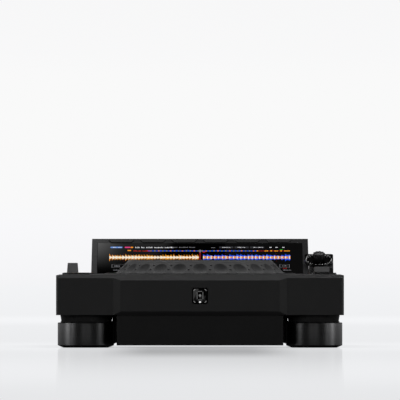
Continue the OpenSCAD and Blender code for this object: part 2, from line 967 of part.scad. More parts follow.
// A round key: cap, lip under the deck and a plunger
module round_key(x, y, d, rise) {
    r = d / 2;
    translate([x, y, 0])
        rotate_extrude()
            polygon([
                [0, key_low_z], [3, key_low_z], [3, lip_z], [r + key_lip, lip_z],
                [r + key_lip, lip_gap], [r, lip_gap], [r, deck_z + rise - 0.6],
                [r - 0.6, deck_z + rise], [0, deck_z + rise]
            ]);
}

// A straight-sided key of the same kind
module square_key(x, y, w, d, rise) {
    block(x, y, key_low_z, lip_z + 0.5, switch_w, switch_w);
    block(x, y, lip_z, lip_gap, w + 2 * key_lip, d + 2 * key_lip);
    block(x, y, lip_z, deck_z + rise, w, d);
}

module play_button() {
    color("#1c1f1d")
        round_key(left_x, play_y, play_d, play_rise);
}

module cue_button() {
    color("#1f1d1a")
        round_key(left_x, cue_y, play_d, play_rise);
}

module seek_key(x, y) {
    color("#1a1a1a")
        square_key(x, y, seek_w, seek_depth, key_rise);
}

module track_back_key() { seek_key(seek_x[0], track_y); }
module track_forward_key() { seek_key(seek_x[1], track_y); }
module search_back_key() { seek_key(seek_x[0], search_y); }
module search_forward_key() { seek_key(seek_x[1], search_y); }

module small_round_key(x, y) {
    color("#161616")
        round_key(x, y, round_d, key_rise);
}

module loop_in_key() { small_round_key(loop_x[0], loop_y); }
module loop_out_key() { small_round_key(loop_x[1], loop_y); }
module reloop_key() { small_round_key(reloop_x, reloop_y); }
module sync_key() { small_round_key(sync_x[1], sync_y); }
module master_key() { small_round_key(sync_x[0], sync_y); }

module hot_cue(i) {
    color("#202020")
        square_key((i - 4.5) * cue_pitch, hot_y, cue_w, cue_depth, key_rise);
}

module hot_cue_1() { hot_cue(1); }
module hot_cue_2() { hot_cue(2); }
module hot_cue_3() { hot_cue(3); }
module hot_cue_4() { hot_cue(4); }
module hot_cue_5() { hot_cue(5); }
module hot_cue_6() { hot_cue(6); }
module hot_cue_7() { hot_cue(7); }
module hot_cue_8() { hot_cue(8); }

// A paddle on a cross pivot
module direction_lever() {
    top = deck_z + lever_rise;
    color("#444444")
    translate([lever_x, lever_y, 0]) {
        intersection() {
            across([[-lever_foot / 2, pivot_z], [lever_foot / 2, pivot_z],
                [lever_tip / 2, top], [-lever_tip / 2, top]], lever_base);
            rotate([90, 0, 0])
                linear_extrude(height = 60, center = true)
                    polygon([[-lever_base / 2, pivot_z - 5], [lever_base / 2, pivot_z - 5],
                        [lever_base / 2, deck_z], [lever_w / 2, top],
                        [-lever_w / 2, top], [-lever_base / 2, deck_z]]);
        }
        translate([0, 0, pivot_z])
            rotate([0, 90, 0])
                cylinder(h = lever_base, r = lever_foot / 2, center = true);
        translate([0, 0, pivot_z])
            rotate([0, 90, 0])
                cylinder(h = lever_base + 2 * lug_gap + 2 * lug_t, r = pivot_r, center = true);
    }
}

// A small knob with its shaft; its pointer is a notch in the top
module trim_knob(y) {
    skirt = 0.5;
    color("#1a1a1a")
    translate([trim_x, y, 0])
        difference() {
            union() {
                translate([0, 0, deck_z + skirt])
                    cylinder(h = trim_rise - skirt, r1 = trim_d / 2, r2 = trim_d / 2 - 1);
                translate([0, 0, board_z + board_t + 4])
                    cylinder(h = deck_z + 1 - board_z - board_t - 4, r = shaft_r);
            }
            translate([-0.6, trim_d / 2 - 6, deck_z + trim_rise - 0.6])
                cube([1.2, 8, 2]);
        }
}

module jog_adjust_knob() { trim_knob(trim_y[0]); }
module vinyl_speed_knob() { trim_knob(trim_y[1]); }

// ------------------------------------------------------------ tempo fader

module fader_plate() {
    color("#111111")
    difference() {
        block(fader_x, fader_y, deck_z, deck_z + fader_plate_h, cap_w, plate_l);
        block(fader_x, fader_y, deck_z - 1, deck_z + fader_plate_h + 1, slot_w, slot_l);
    }
}

module fader_body() {
    low = stem_low_z - 5;
    color("#8d8d8d")
    difference() {
        block(fader_x, fader_y, low, under_deck, 12, slot_l + 12);
        block(fader_x, fader_y, low + 1.5, under_deck + 1, slot_w, slot_l);
    }
}

module tempo_slider() {
    top = cap_low_z + cap_h;
    color("#383838") {
        difference() {
            translate([fader_x, fader_y, 0])
                across([[-cap_l / 2, cap_low_z], [cap_l / 2, cap_low_z], [cap_l / 2 - 3, top],
                    [-cap_l / 2 + 3, top]], cap_w);
            block(fader_x, fader_y, top - 1, top + 1, cap_w + 2, 2);
        }
        block(fader_x, fader_y, stem_low_z, cap_low_z + 1, stem_w, stem_l);
    }
}

// ----------------------------------------------------------------- inside

// Three boards under the keys, with a switch under each key
module key_boards() {
    top = board_z + board_t;
    color("#17482c") {
        translate([left_x - board_left, play_y - 18, board_z])
            cube([board_w, lever_y - lever_free - play_y + 18, board_t]);
        translate([left_x - board_left, lever_y + lever_free, board_z])
            cube([board_w + 4, reloop_y + 10 - lever_y - lever_free, board_t]);
        for (y = [play_y, cue_y])
            block(left_x, y, top, switch_top_z, switch_w, switch_w);
        for (x = seek_x, y = [track_y, search_y])
            block(x, y, top, switch_top_z, switch_w, switch_w);
        for (x = loop_x)
            block(x, loop_y, top, switch_top_z, switch_w, switch_w);
        block(reloop_x, reloop_y, top, switch_top_z, switch_w, switch_w);
        // right-hand board
        translate([sync_x[0] - 9, sync_y - 9, board_z])
            cube([36, trim_y[1] - sync_y + 18, board_t]);
        for (x = sync_x)
            block(x, sync_y, top, switch_top_z, switch_w, switch_w);
        for (y = trim_y)
            difference() {
                block(trim_x, y, top, top + 7, 10, 10);
                rod(trim_x, y, top + 3, top + 8, shaft_r + shaft_fit);
            }
        // hot-cue board
        block(0, hot_y, board_z, top, 7 * cue_pitch + cue_w, 14);
        for (i = [0:7])
            block((i - 3.5) * cue_pitch, hot_y, top, switch_top_z, switch_w, switch_w);
    }
}

// Main board on pillars in the tub, with its chips and a heat sink
module main_board() {
    z = tub_z + wall + 8;
    y0 = jog_y + 62;
    w = tub_w - 2 * wall - 84;
    x0 = -tub_w / 2 + wall + 2;
    d = 130;
    color("#17482c") {
        translate([x0, y0, z])
            cube([w, d, board_t]);
        for (x = [x0 + 5, x0 + w - 5], y = [y0 + 5, y0 + d - 5])
            rod(x, y, tub_z + wall, z + 0.5, 3);
        block(x0 + 34, y0 + 40, z + board_t, z + board_t + 2, 30, 30);
        block(x0 + w - 26.6, y0 + 88, z + board_t, z + board_t + 2, 22, 22);
        block(x0 + 34, y0 + 40, z + board_t + 1.5, z + board_t + 10, 24, 24);
    }
}

// Power supply in its folded metal can
module power_supply() {
    w = 70;
    d = 150;
    color("#9a9a9a")
        translate([tub_w / 2 - wall - 2 - w, jog_y + 62, tub_z + wall])
            cube([w, d, 30]);
}

// ---------------------------------------------------------------- sockets

module rear_panel() {
    color("#1b1b1b")
    difference() {
        translate([-window_w / 2 - 5, panel_y, tray_top + 0.2])
            cube([window_w + 10, panel_steel, under_deck - tray_top - 0.4]);
        for (x = jack_x)
            translate([x, panel_y - 1, jack_z])
                rotate([-90, 0, 0])
                    cylinder(h = panel_steel + 2, r = jack_d / 2 + 0.85);
        translate([inlet_x, panel_y, jack_z])
            cube([inlet_w + 2 * inlet_wall, 9, inlet_h + 2 * inlet_wall], center = true);
        translate([net_x, panel_y, jack_z])
            cube([net_w + 2 * net_wall, 9, net_h + 2 * net_wall], center = true);
        translate([button_x, panel_y - 1, jack_z])
            rotate([-90, 0, 0])
                cylinder(h = panel_steel + 2, r = button_r + key_gap);
    }
}

module power_inlet() {
    w = inlet_w + 2 * inlet_wall;
    h = inlet_h + 2 * inlet_wall;
    floor_y = rear_y - inlet_deep;
    color("#0e0e0e") {
        difference() {
            union() {
                translate([inlet_x - w / 2, floor_y - 3, jack_z - h / 2])
                    cube([w, inlet_deep + 3, h]);
                translate([inlet_x - w / 2 - 4, rear_y - wall, jack_z - h / 2 - 2])
                    cube([w + 8, wall, h + 4]);
            }
            translate([inlet_x - inlet_w / 2, floor_y, jack_z - inlet_h / 2])
                cube([inlet_w, inlet_deep + 1, inlet_h]);
        }
        for (p = [[-7, -2], [0, 3], [7, -2]])
            translate([inlet_x + p[0] - 1, floor_y - 1, jack_z + p[1] - 2])
                cube([2, 12, 4]);
    }
}

// Two sound outputs and one digital output
module phono_jacks() {
    r = jack_d / 2;
    color("#c8b060")
    for (x = jack_x)
        translate([x, rear_y, jack_z])
            rotate([-90, 0, 0])
                rotate_extrude()
                    polygon([
                        [1.6, jack_out - 8], [1.6, jack_out], [r, jack_out], [r, 0],
                        [jack_flange_r, 0], [jack_flange_r, -wall], [r + 0.75, -wall],
                        [r + 0.75, -wall - 12], [0, -wall - 12], [0, jack_out - 8]
                    ]);
}

module network_jack() {
    w = net_w + 2 * net_wall;
    h = net_h + 2 * net_wall;
    color("#b5b5b5")
    difference() {
        translate([net_x - w / 2, rear_y - net_deep - 3, jack_z - h / 2])
            cube([w, net_deep + 3, h]);
        translate([net_x - net_w / 2, rear_y - net_deep, jack_z - net_h / 2])
            cube([net_w, net_deep + 1, net_h]);
    }
}

module power_button() {
    color("#161616")
    translate([button_x, 0, jack_z])
        rotate([-90, 0, 0]) {
            translate([0, 0, panel_y - 6])
                cylinder(h = rear_y + button_out - panel_y + 6, r = button_r);
            translate([0, 0, panel_y - 4.4])
                cylinder(h = 4, r = button_r + 1.5);
        }
}

// Socket for a memory stick, with its slot in the deck
module usb_socket() {
    w = usb_w + 2 * usb_wall;
    d = usb_depth + 2 * usb_wall;
    low = under_deck - usb_deep;
    color("#a8a8a8") {
        difference() {
            block(usb_x, usb_y, low - 2, under_deck, w, d);
            block(usb_x, usb_y, low, under_deck + 1, usb_w, usb_depth);
        }
        block(usb_x, usb_y + 0.8, low - 1, under_deck - usb_recess, usb_w - 1.6, 1.8);
    }
}

top_case();
lower_case();
rear_panel();
front_badge();
foot_collars();
feet();
foot_pads();
screws();
display_housing();
display_glass();
display_panel();
menu_key_1();
menu_key_2();
menu_key_3();
menu_key_4();
menu_key_5();
menu_key_6();
browse_stand();
browse_ring();
browse_shaft();
browse_knob();
jog_spindle();
jog_bearing();
jog_display();
jog_wheel();
jog_plate();
encoder_disc();
play_button();
cue_button();
track_back_key();
track_forward_key();
search_back_key();
search_forward_key();
direction_lever();
loop_in_key();
loop_out_key();
reloop_key();
hot_cue_1();
hot_cue_2();
hot_cue_3();
hot_cue_4();
hot_cue_5();
hot_cue_6();
hot_cue_7();
hot_cue_8();
sync_key();
master_key();
jog_adjust_knob();
vinyl_speed_knob();
fader_plate();
fader_body();
tempo_slider();
key_boards();
main_board();
power_supply();
usb_socket();
power_inlet();
phono_jacks();
network_jack();
power_button();
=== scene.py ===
"""Looks of a table-top media player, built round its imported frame.

Each sub-assembly is a class that builds its own meshes and dresses the frame's
nodes. Lengths in the classes are millimetres; Form turns them into metres.
"""

import json
import logging
import math
import random
from dataclasses import dataclass, field
from enum import Enum
from typing import Iterable, Sequence, Union

import bmesh
import bpy
from mathutils import Matrix, Vector

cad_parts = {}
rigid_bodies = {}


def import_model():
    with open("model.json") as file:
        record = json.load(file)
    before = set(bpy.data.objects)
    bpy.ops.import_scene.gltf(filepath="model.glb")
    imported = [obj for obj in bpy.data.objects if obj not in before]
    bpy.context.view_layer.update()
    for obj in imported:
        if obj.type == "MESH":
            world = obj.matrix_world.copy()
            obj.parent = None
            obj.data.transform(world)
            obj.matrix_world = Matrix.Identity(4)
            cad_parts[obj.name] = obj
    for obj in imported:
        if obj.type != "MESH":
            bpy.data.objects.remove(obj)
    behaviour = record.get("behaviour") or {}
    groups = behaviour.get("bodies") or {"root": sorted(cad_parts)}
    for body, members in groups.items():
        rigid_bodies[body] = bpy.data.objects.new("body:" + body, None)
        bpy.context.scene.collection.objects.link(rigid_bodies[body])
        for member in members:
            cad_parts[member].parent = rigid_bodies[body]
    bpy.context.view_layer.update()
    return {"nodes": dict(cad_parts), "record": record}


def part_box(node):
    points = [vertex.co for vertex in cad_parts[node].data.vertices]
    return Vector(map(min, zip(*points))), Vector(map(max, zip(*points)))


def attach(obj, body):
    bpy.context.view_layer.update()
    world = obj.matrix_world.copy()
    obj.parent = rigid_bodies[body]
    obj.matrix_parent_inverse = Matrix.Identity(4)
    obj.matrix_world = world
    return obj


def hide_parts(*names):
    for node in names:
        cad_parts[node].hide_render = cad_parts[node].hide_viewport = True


LOG = logging.getLogger("player")
MM = 0.001
Colour = tuple[float, float, float]
Flat = tuple[float, float]
Solid = tuple[float, float, float]
Stops = Sequence[tuple[float, Colour]]

for leftover in list(bpy.data.objects):
    bpy.data.objects.remove(leftover)
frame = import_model()
SLOTS = {row["node"]: row["material_slot"] for row in frame["record"]["subparts"]}


def linear(red: float, green: float, blue: float) -> Colour:
    """Turns a display colour of 0 to 255 into linear light."""
    parts = (v / 255.0 for v in (red, green, blue))
    return tuple(v / 12.92 if v < 0.04045 else ((v + 0.055) / 1.055) ** 2.4 for v in parts)


def grey(level: float) -> Colour:
    """The linear colour of a display grey of 0 to 255."""
    return linear(level, level, level)


# Shader maths


class Sig:
    """A shader socket that takes part in arithmetic."""

    def __init__(self, graph: "Graph", socket: bpy.types.NodeSocket) -> None:
        """Keeps the socket and the graph it lives in."""
        self.graph, self.socket = graph, socket

    def _math(self, name: str, first: "Value", second: "Value") -> "Sig":
        """Adds a Math node on two values."""
        return self.graph.sig("Math", {"operation": name}, {0: first, 1: second})

    def __add__(self, other: "Value") -> "Sig":
        """self + other."""
        return self._math("ADD", self, other)

    def __sub__(self, other: "Value") -> "Sig":
        """self - other."""
        return self._math("SUBTRACT", self, other)

    def __rsub__(self, other: "Value") -> "Sig":
        """other - self."""
        return self._math("SUBTRACT", other, self)

    def __mul__(self, other: "Value") -> "Sig":
        """self * other."""
        return self._math("MULTIPLY", self, other)

    def __truediv__(self, other: "Value") -> "Sig":
        """self / other."""
        return self._math("DIVIDE", self, other)

    def __gt__(self, other: "Value") -> "Sig":
        """1 where self is above other, else 0."""
        return self._math("GREATER_THAN", self, other)

    __radd__ = __add__
    __rmul__ = __mul__

    def wave(self, pitch: float) -> "Sig":
        """A sine from -1 to 1 that repeats every pitch."""
        turned = self * (math.tau / pitch)
        return turned._math("SINE", turned, 0.0)

    def step(self, start: float, end: float) -> "Sig":
        """Rises smoothly from 0 at start to 1 at end, which may be below start."""
        settings = {"interpolation_type": "SMOOTHSTEP", "clamp": True}
        return self.graph.sig("MapRange", settings, {0: self, 1: start, 2: end, 3: 0.0, 4: 1.0})


Value = Union[Sig, float]


class Graph:
    """The node tree of one material or of the world."""

    def __init__(self, tree: bpy.types.NodeTree) -> None:
        """Empties the tree and keeps it."""
        self.tree = tree
        tree.nodes.clear()

    def node(self, kind: str, settings: dict | None = None, inputs: dict | None = None) -> bpy.types.Node:
        """Adds a node, sets it up, then fills its sockets.

        Args:
            kind: Node type without its ShaderNode prefix.
            settings: Attributes of the node.
            inputs: Socket name or number to a value or a Sig.

        Returns:
            The new node.
        """
        made = self.tree.nodes.new("ShaderNode" + kind)
        for name, value in (settings or {}).items():
            setattr(made, name, value)
        for name, value in (inputs or {}).items():
            socket = made.inputs[name]
            if isinstance(value, Sig):
                self.tree.links.new(value.socket, socket)
            elif socket.type == "RGBA" and len(value) == 3:
                socket.default_value = (*value, 1.0)
            else:
                socket.default_value = value
        return made

    def sig(self, kind: str, settings: dict | None = None, inputs: dict | None = None, port: int | str = 0) -> Sig:
        """Adds a node as node() does and gives its output port."""
        return Sig(self, self.node(kind, settings, inputs).outputs[port])

    def place(self) -> Sig:
        """The point on the object, in metres of the frame."""
        return self.sig("TexCoord", port="Object")

    def axes(self, vector: Sig) -> tuple[Sig, Sig, Sig]:
        """Splits a vector into its three values."""
        split = self.node("SeparateXYZ", None, {0: vector})
        return tuple(Sig(self, port) for port in split.outputs)

    def vector(self, name: str, first: Sig, second: Solid) -> Sig:
        """A Vector Math node on a vector and a fixed one."""
        return self.sig("VectorMath", {"operation": name}, {0: first, 1: second})

    def away(self, where: Sig) -> Sig:
        """How far a point is from the upright axis."""
        flat = self.vector("MULTIPLY", where, (1, 1, 0))
        return self.sig("VectorMath", {"operation": "LENGTH"}, {0: flat}, port="Value")

    def noise(self, size: float, stretch: Solid = (1, 1, 1), detail: float = 2.0) -> Sig:
        """Soft random values from 0 to 1, in patches of size metres, finer where stretched."""
        where = self.vector("MULTIPLY", self.place(), stretch)
        return self.sig("TexNoise", None, {"Vector": where, "Scale": 1 / size, "Detail": detail})

    def blend(self, amount: Value, low: Union[Sig, Colour], high: Union[Sig, Colour]) -> Sig:
        """A colour between low and high."""
        return self.sig("Mix", {"data_type": "RGBA"}, {0: amount, 6: low, 7: high}, port=2)

    def ramp(self, value: Sig, stops: Stops) -> Sig:
        """A colour ramp on a value of 0 to 1.

        Args:
            value: The value.
            stops: A position and a colour for each stop.

        Returns:
            The colour.
        """
        made = self.node("ValToRGB", None, {0: value})
        elements = made.color_ramp.elements
        while len(elements) < len(stops):
            elements.new(1.0)
        for element, (place, colour) in zip(elements, stops):
            element.position, element.color = place, (*colour, 1.0)
        return Sig(self, made.outputs[0])

    def bump(self, height: Sig, depth: float, strength: float = 1.0) -> Sig:
        """A normal from a height of 0 to 1, depth millimetres high."""
        return self.sig("Bump", None, {"Strength": strength, "Distance": depth * MM, "Height": height})

    def rays(self, *kinds: str) -> list[Sig]:
        """The Light Path outputs of these kinds of ray."""
        paths = self.node("LightPath")
        return [Sig(self, paths.outputs[f"Is {kind} Ray"]) for kind in kinds]


def new_material(name: str) -> tuple[bpy.types.Material, Graph]:
    """A material without nodes, and its graph.

    Args:
        name: Its name.

    Returns:
        Both.
    """
    made = bpy.data.materials.new(name)
    made.use_nodes = True
    return made, Graph(made.node_tree)


# Finishes


@dataclass(frozen=True)
class Finish:
    """What all finishes share: one colour, one gloss, and what varies."""

    name: str
    colour: Colour
    rough: float = 0.5
    shine: float = 0.3
    metal: float = 0.0

    def vary(self, graph: Graph) -> dict[str, Value]:
        """What changes over the surface, by socket name."""
        return {}

    def sway(self, graph: Graph, amount: Sig, swing: float) -> Sig:
        """The colour moved down and up by the share swing, as amount runs from 0 to 1."""
        low, high = (tuple(min(1.0, v * way) for v in self.colour) for way in (1 - swing, 1 + swing))
        return graph.blend(amount, low, high)

    def gloss(self, amount: Sig, swing: float) -> Sig:
        """The roughness moved down and up by swing, as amount runs from 0 to 1."""
        return self.rough - swing + amount * (2 * swing)

    def material(self) -> bpy.types.Material:
        """The finish as a material, made once.

        Returns:
            The material.
        """
        name = f"finish_{self.name}"
        if name in bpy.data.materials:
            return bpy.data.materials[name]
        made, graph = new_material(name)
        inputs = {
            "Base Color": self.colour,
            "Roughness": self.rough,
            "Specular IOR Level": self.shine,
            "Metallic": self.metal,
            **self.vary(graph),
        }
        graph.node("OutputMaterial", None, {"Surface": graph.sig("BsdfPrincipled", None, inputs)})
        made.diffuse_color = (*self.colour, 1.0)
        return made


@dataclass(frozen=True)
class Moulded(Finish):
    """Moulded plastic: a fine sparked grain and faint mottling."""

    grain: float = 0.45
    relief: float = 0.018
    mottle: float = 0.1

    def vary(self, graph: Graph) -> dict[str, Value]:
        """Grain in the normal, mottling in colour and gloss.

        Args:
            graph: Tree to build in.

        Returns:
            What varies, by socket name.
        """
        return {
            "Base Color": self.sway(graph, graph.noise(0.03, detail=4.0), self.mottle),
            "Roughness": self.gloss(graph.noise(0.012), 0.03),
            "Normal": graph.bump(graph.noise(self.grain * MM, detail=3.0), self.relief, 0.5),
        }


@dataclass(frozen=True)
class Turned(Finish):
    """Metal turned on a lathe round an upright axis, then anodised."""

    metal: float = 1.0
    pitch: float = 0.7
    relief: float = 0.01
    streak: float = 0.16

    def vary(self, graph: Graph) -> dict[str, Value]:
        """Fine level grooves and streaks that run round the piece.

        Args:
            graph: Tree to build in.

        Returns:
            What varies, by socket name.
        """
        grooves = graph.axes(graph.place())[2].wave(self.pitch * MM) * 0.5 + 0.5
        streaks = graph.noise(0.0012, (0.02, 0.02, 1.0), 3.0)
        return {
            "Base Color": self.sway(graph, streaks, self.streak),
            "Roughness": self.gloss(streaks, 0.05),
            "Normal": graph.bump(grooves * 0.6 + streaks * 0.4, self.relief, 0.6),
        }


@dataclass(frozen=True)
class Spun(Finish):
    """A flat face turned into fine rings round a middle."""

    middle: Flat = (0.0, 0.0)
    metal: float = 0.6
    pitch: float = 0.9

    def vary(self, graph: Graph) -> dict[str, Value]:
        """Rings in the normal and in the gloss.

        Args:
            graph: Tree to build in.

        Returns:
            What varies, by socket name.
        """
        moved_to = graph.vector("SUBTRACT", graph.place(), (self.middle[0] * MM, self.middle[1] * MM, 0))
        rings = graph.away(moved_to).wave(self.pitch * MM) * 0.5 + 0.5
        return {
            "Base Color": self.sway(graph, graph.noise(0.05, detail=4.0), 0.08),
            "Roughness": self.gloss(rings, 0.04),
            "Normal": graph.bump(rings, 0.012, 0.6),
        }


@dataclass(frozen=True)
class Rubber(Finish):
    """Plain rubber: dull, with a dusty bloom."""

    def vary(self, graph: Graph) -> dict[str, Value]:
        """Bloom in the colour, pores in the normal.

        Args:
            graph: Tree to build in.

        Returns:
            What varies, by socket name.
        """
        return {
            "Base Color": self.sway(graph, graph.noise(0.006, detail=4.0), 0.3),
            "Roughness": self.gloss(graph.noise(0.004), 0.05),
            "Normal": graph.bump(graph.noise(0.0006, detail=4.0), 0.03, 0.6),
        }


@dataclass(frozen=True)
class Polished(Finish):
    """Polished plastic or glass: smooth, with faint wiping marks."""

    shine: float = 0.5
    wipe: float = 0.04

    def vary(self, graph: Graph) -> dict[str, Value]:
        """Wiping marks in the gloss, a faint waviness in the normal.

        Args:
            graph: Tree to build in.

        Returns:
            What varies, by socket name.
        """
        marks = graph.noise(0.004, (0.3, 1.0, 1.0), 5.0)
        return {
            "Base Color": self.sway(graph, graph.noise(0.02, detail=4.0), 0.15),
            "Roughness": self.rough + marks * self.wipe,
            "Normal": graph.bump(graph.noise(0.03), 0.004, 0.15),
        }


@dataclass(frozen=True)
class Plated(Finish):
    """Plated or folded sheet metal with a spangle."""

    metal: float = 1.0
    spangle: float = 2.4

    def vary(self, graph: Graph) -> dict[str, Value]:
        """A spangle in colour and gloss.

        Args:
            graph: Tree to build in.

        Returns:
            What varies, by socket name.
        """
        inputs = {"Vector": graph.place(), "Scale": 1 / (self.spangle * MM)}
        shade = graph.axes(graph.sig("TexVoronoi", None, inputs, port="Color"))[0]
        return {
            "Base Color": graph.blend(shade, tuple(v * 0.85 for v in self.colour), self.colour),
            "Roughness": self.gloss(shade, 0.05),
            "Normal": graph.bump(graph.noise(0.0008), 0.006, 0.4),
        }


@dataclass(frozen=True)
class Board(Finish):
    """A circuit board: green lacquer over copper tracks."""

    track: Colour = (0.03, 0.16, 0.07)

    def vary(self, graph: Graph) -> dict[str, Value]:
        """Tracks as raised lighter lines under the lacquer.

        Args:
            graph: Tree to build in.

        Returns:
            What varies, by socket name.
        """
        x, y, _ = graph.axes(graph.place())
        lines = (x + y + graph.noise(0.008, detail=0.0) * 0.02).wave(2.6 * MM) > 0.72
        return {
            "Base Color": graph.blend(lines, self.colour, self.track),
            "Roughness": self.rough + graph.noise(0.01) * 0.08,
            "Normal": graph.bump(lines, 0.03, 0.7),
        }


@dataclass(frozen=True)
class Ink(Finish):
    """Printed marks, slightly uneven."""

    def vary(self, graph: Graph) -> dict[str, Value]:
        """Uneven ink in the colour and the gloss.

        Args:
            graph: Tree to build in.

        Returns:
            What varies, by socket name.
        """
        return {
            "Base Color": self.sway(graph, graph.noise(0.001, detail=4.0), 0.14),
            "Roughness": self.gloss(graph.noise(0.0008), 0.04),
        }


@dataclass(frozen=True)
class Lit(Finish):
    """A lit dot, ring or picture area behind glass; the badge also uses it for painted glow."""

    rough: float = 0.3
    glow: float = 1.0
    grid: float = 0.45

    def vary(self, graph: Graph) -> dict[str, Value]:
        """The strength of the light, and the fine grid of the lamps behind the surface.

        Args:
            graph: Tree to build in.

        Returns:
            What varies, by socket name.
        """
        x, y, _ = graph.axes(graph.place())
        cells = x.wave(self.grid * MM) * y.wave(self.grid * MM) * 0.5 + 0.5
        return {
            "Base Color": graph.blend(cells, (0.002, 0.002, 0.002), (0.004, 0.004, 0.004)),
            "Emission Strength": self.glow,
            "Emission Color": graph.blend(cells, tuple(v * 0.8 for v in self.colour), self.colour),
        }


def dark(level: float, blue: float = 0.0) -> Colour:
    """A dark linear grey with a little more blue."""
    return level, level, level + blue


CASE = Moulded("case_plastic", dark(0.0122, 0.0002), 0.42, 0.32)
TUB = Moulded("tub_plastic", dark(0.008, 0.0001), 0.55, 0.22)
HOUSING = Moulded("housing_plastic", dark(0.006, 0.0002), 0.36, 0.42, grain=0.35)
WHEEL = Moulded("wheel_plastic", dark(0.025, 0.0003), 0.5, 0.12, grain=0.3, relief=0.01)
KEY = Moulded("key_plastic", dark(0.009), 0.45, 0.3, grain=0.25, relief=0.01)
KNOB = Moulded("knob_plastic", dark(0.004, 0.0001), 0.2, 0.6, grain=0.25, relief=0.004)
LEVER = Moulded("lever_plastic", dark(0.07, 0.001), 0.42, 0.35, grain=0.3, relief=0.01)
CAP = Moulded("cap_plastic", dark(0.04, 0.0005), 0.42, 0.35, grain=0.3, relief=0.01)
# A painted highlight: a lighter grey for the jog plate's eased edge, where light catches it.
PAINTED_EDGE_HIGHLIGHT = Moulded("plate_edge_painted_highlight", dark(0.028, 0.0003), 0.4, 0.3, grain=0.3, relief=0.008)
PANEL = Moulded("painted_panel", dark(0.008), 0.45, 0.35, grain=0.8, relief=0.03)
FOOT = Turned("foot_metal", dark(0.15, 0.002), 0.32)
RUBBER = Rubber("foot_rubber", dark(0.004), 0.75, 0.15)
GLASS = Polished("display_glass_black", dark(0.0002), 0.03, wipe=0.02)
GLOSS = Polished("gloss_black", dark(0.001), 0.03, 0.4, wipe=0.03)
SATIN_GLOSS = Polished("satin_black", dark(0.003), 0.2, wipe=0.08)
RING = Polished("ring_black", dark(0.0006), 0.09)
ZINC = Plated("zinc_plate", (0.5, 0.5, 0.52), 0.34)
CAN = Plated("folded_steel", (0.4, 0.4, 0.41), 0.38, spangle=6.0)
NICKEL = Plated("nickel_plate", (0.62, 0.61, 0.59), 0.24, spangle=1.2)
GOLD = Plated("gold_plate", (0.8, 0.58, 0.24), 0.22, spangle=1.4)
BOARD = Board("board_lacquer", (0.008, 0.06, 0.025), 0.3, 0.5)
PRINT = Ink("print_grey", grey(150))
PRINT_DIM = Ink("print_dim", grey(84))


# Mesh forms

LIFT = 0.02
CORNERS = ((1, 1, 0), (-1, 1, 90), (-1, -1, 180), (1, -1, 270))


def moved(x: float, y: float, z: float = 0.0, tilt: float = 0.0) -> Matrix:
    """A frame at a point in millimetres, leaning back by tilt degrees."""
    return Matrix.Translation((x, y, z)) @ Matrix.Rotation(math.radians(tilt), 4, "X")


def spot(node: str) -> tuple[Vector, Vector, Vector]:
    """The lowest corner, the highest corner and the middle of a node, in millimetres."""
    low, high = (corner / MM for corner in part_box(node))
    return low, high, (low + high) / 2


def top_of(node: str) -> Matrix:
    """The frame in the middle of a node's upper face, just over it."""
    _, high, middle = spot(node)
    return moved(middle.x, middle.y, high.z + LIFT)


def circle(radius: float, sides: int = 48, x: float = 0.0, y: float = 0.0) -> list[Flat]:
    """Outline of a circle, counter-clockwise."""
    turns = (math.tau * i / sides for i in range(sides))
    return [(x + radius * math.cos(a), y + radius * math.sin(a)) for a in turns]


def round_rect(width: float, depth: float, radius: float, steps: int = 5) -> list[Flat]:
    """Outline of a rectangle with rounded corners, round (0, 0).

    Args:
        width: Size in x.
        depth: Size in y.
        radius: Radius of the corners.
        steps: Points per corner, less one.

    Returns:
        The points, counter-clockwise.
    """
    out = []
    for sx, sy, turn in CORNERS:
        x, y = sx * (width / 2 - radius), sy * (depth / 2 - radius)
        turns = (math.radians(turn + 90 * i / steps) for i in range(steps + 1))
        out += [(x + radius * math.cos(a), y + radius * math.sin(a)) for a in turns]
    return out


def shrink(outline: Sequence[Flat], by: float) -> list[Flat]:
    """Moves each side of a counter-clockwise outline inwards.

    Args:
        outline: The points.
        by: How far.

    Returns:
        The new points.
    """
    out = []
    for i, here in enumerate(outline):
        before, after = outline[i - 1], outline[(i + 1) % len(outline)]
        a = Vector((here[0] - before[0], here[1] - before[1])).normalized()
        b = Vector((after[0] - here[0], after[1] - here[1])).normalized()
        mean = Vector((-a.y - b.y, a.x + b.x))
        scale = by / max(0.3, mean.length_squared / 2)
        out.append((here[0] + mean.x * scale, here[1] + mean.y * scale))
    return out


def ease(profile: Sequence[Flat], radius: float) -> list[Flat]:
    """Rounds the corners of a closed profile with short arcs.

    Args:
        profile: Points of the profile.
        radius: Largest run taken off each side of a corner.

    Returns:
        The eased points.
    """
    out = []
    for i, here in enumerate(profile):
        p = Vector(here)
        a, b = Vector(profile[i - 1]) - p, Vector(profile[(i + 1) % len(profile)]) - p
        run = min(radius, a.length * 0.45, b.length * 0.45)
        start, end = p + a.normalized() * run, p + b.normalized() * run
        for t in (0.0, 0.33, 0.67, 1.0):
            out.append(tuple(start * (1 - t) ** 2 + p * 2 * t * (1 - t) + end * t * t))
    return out


def put(name: str, data: bpy.types.ID) -> bpy.types.Object:
    """A new object in the scene.

    Args:
        name: Its name.
        data: Its mesh, lamp or camera.

    Returns:
        The object.
    """
    made = bpy.data.objects.new(name, data)
    bpy.context.scene.collection.objects.link(made)
    return made


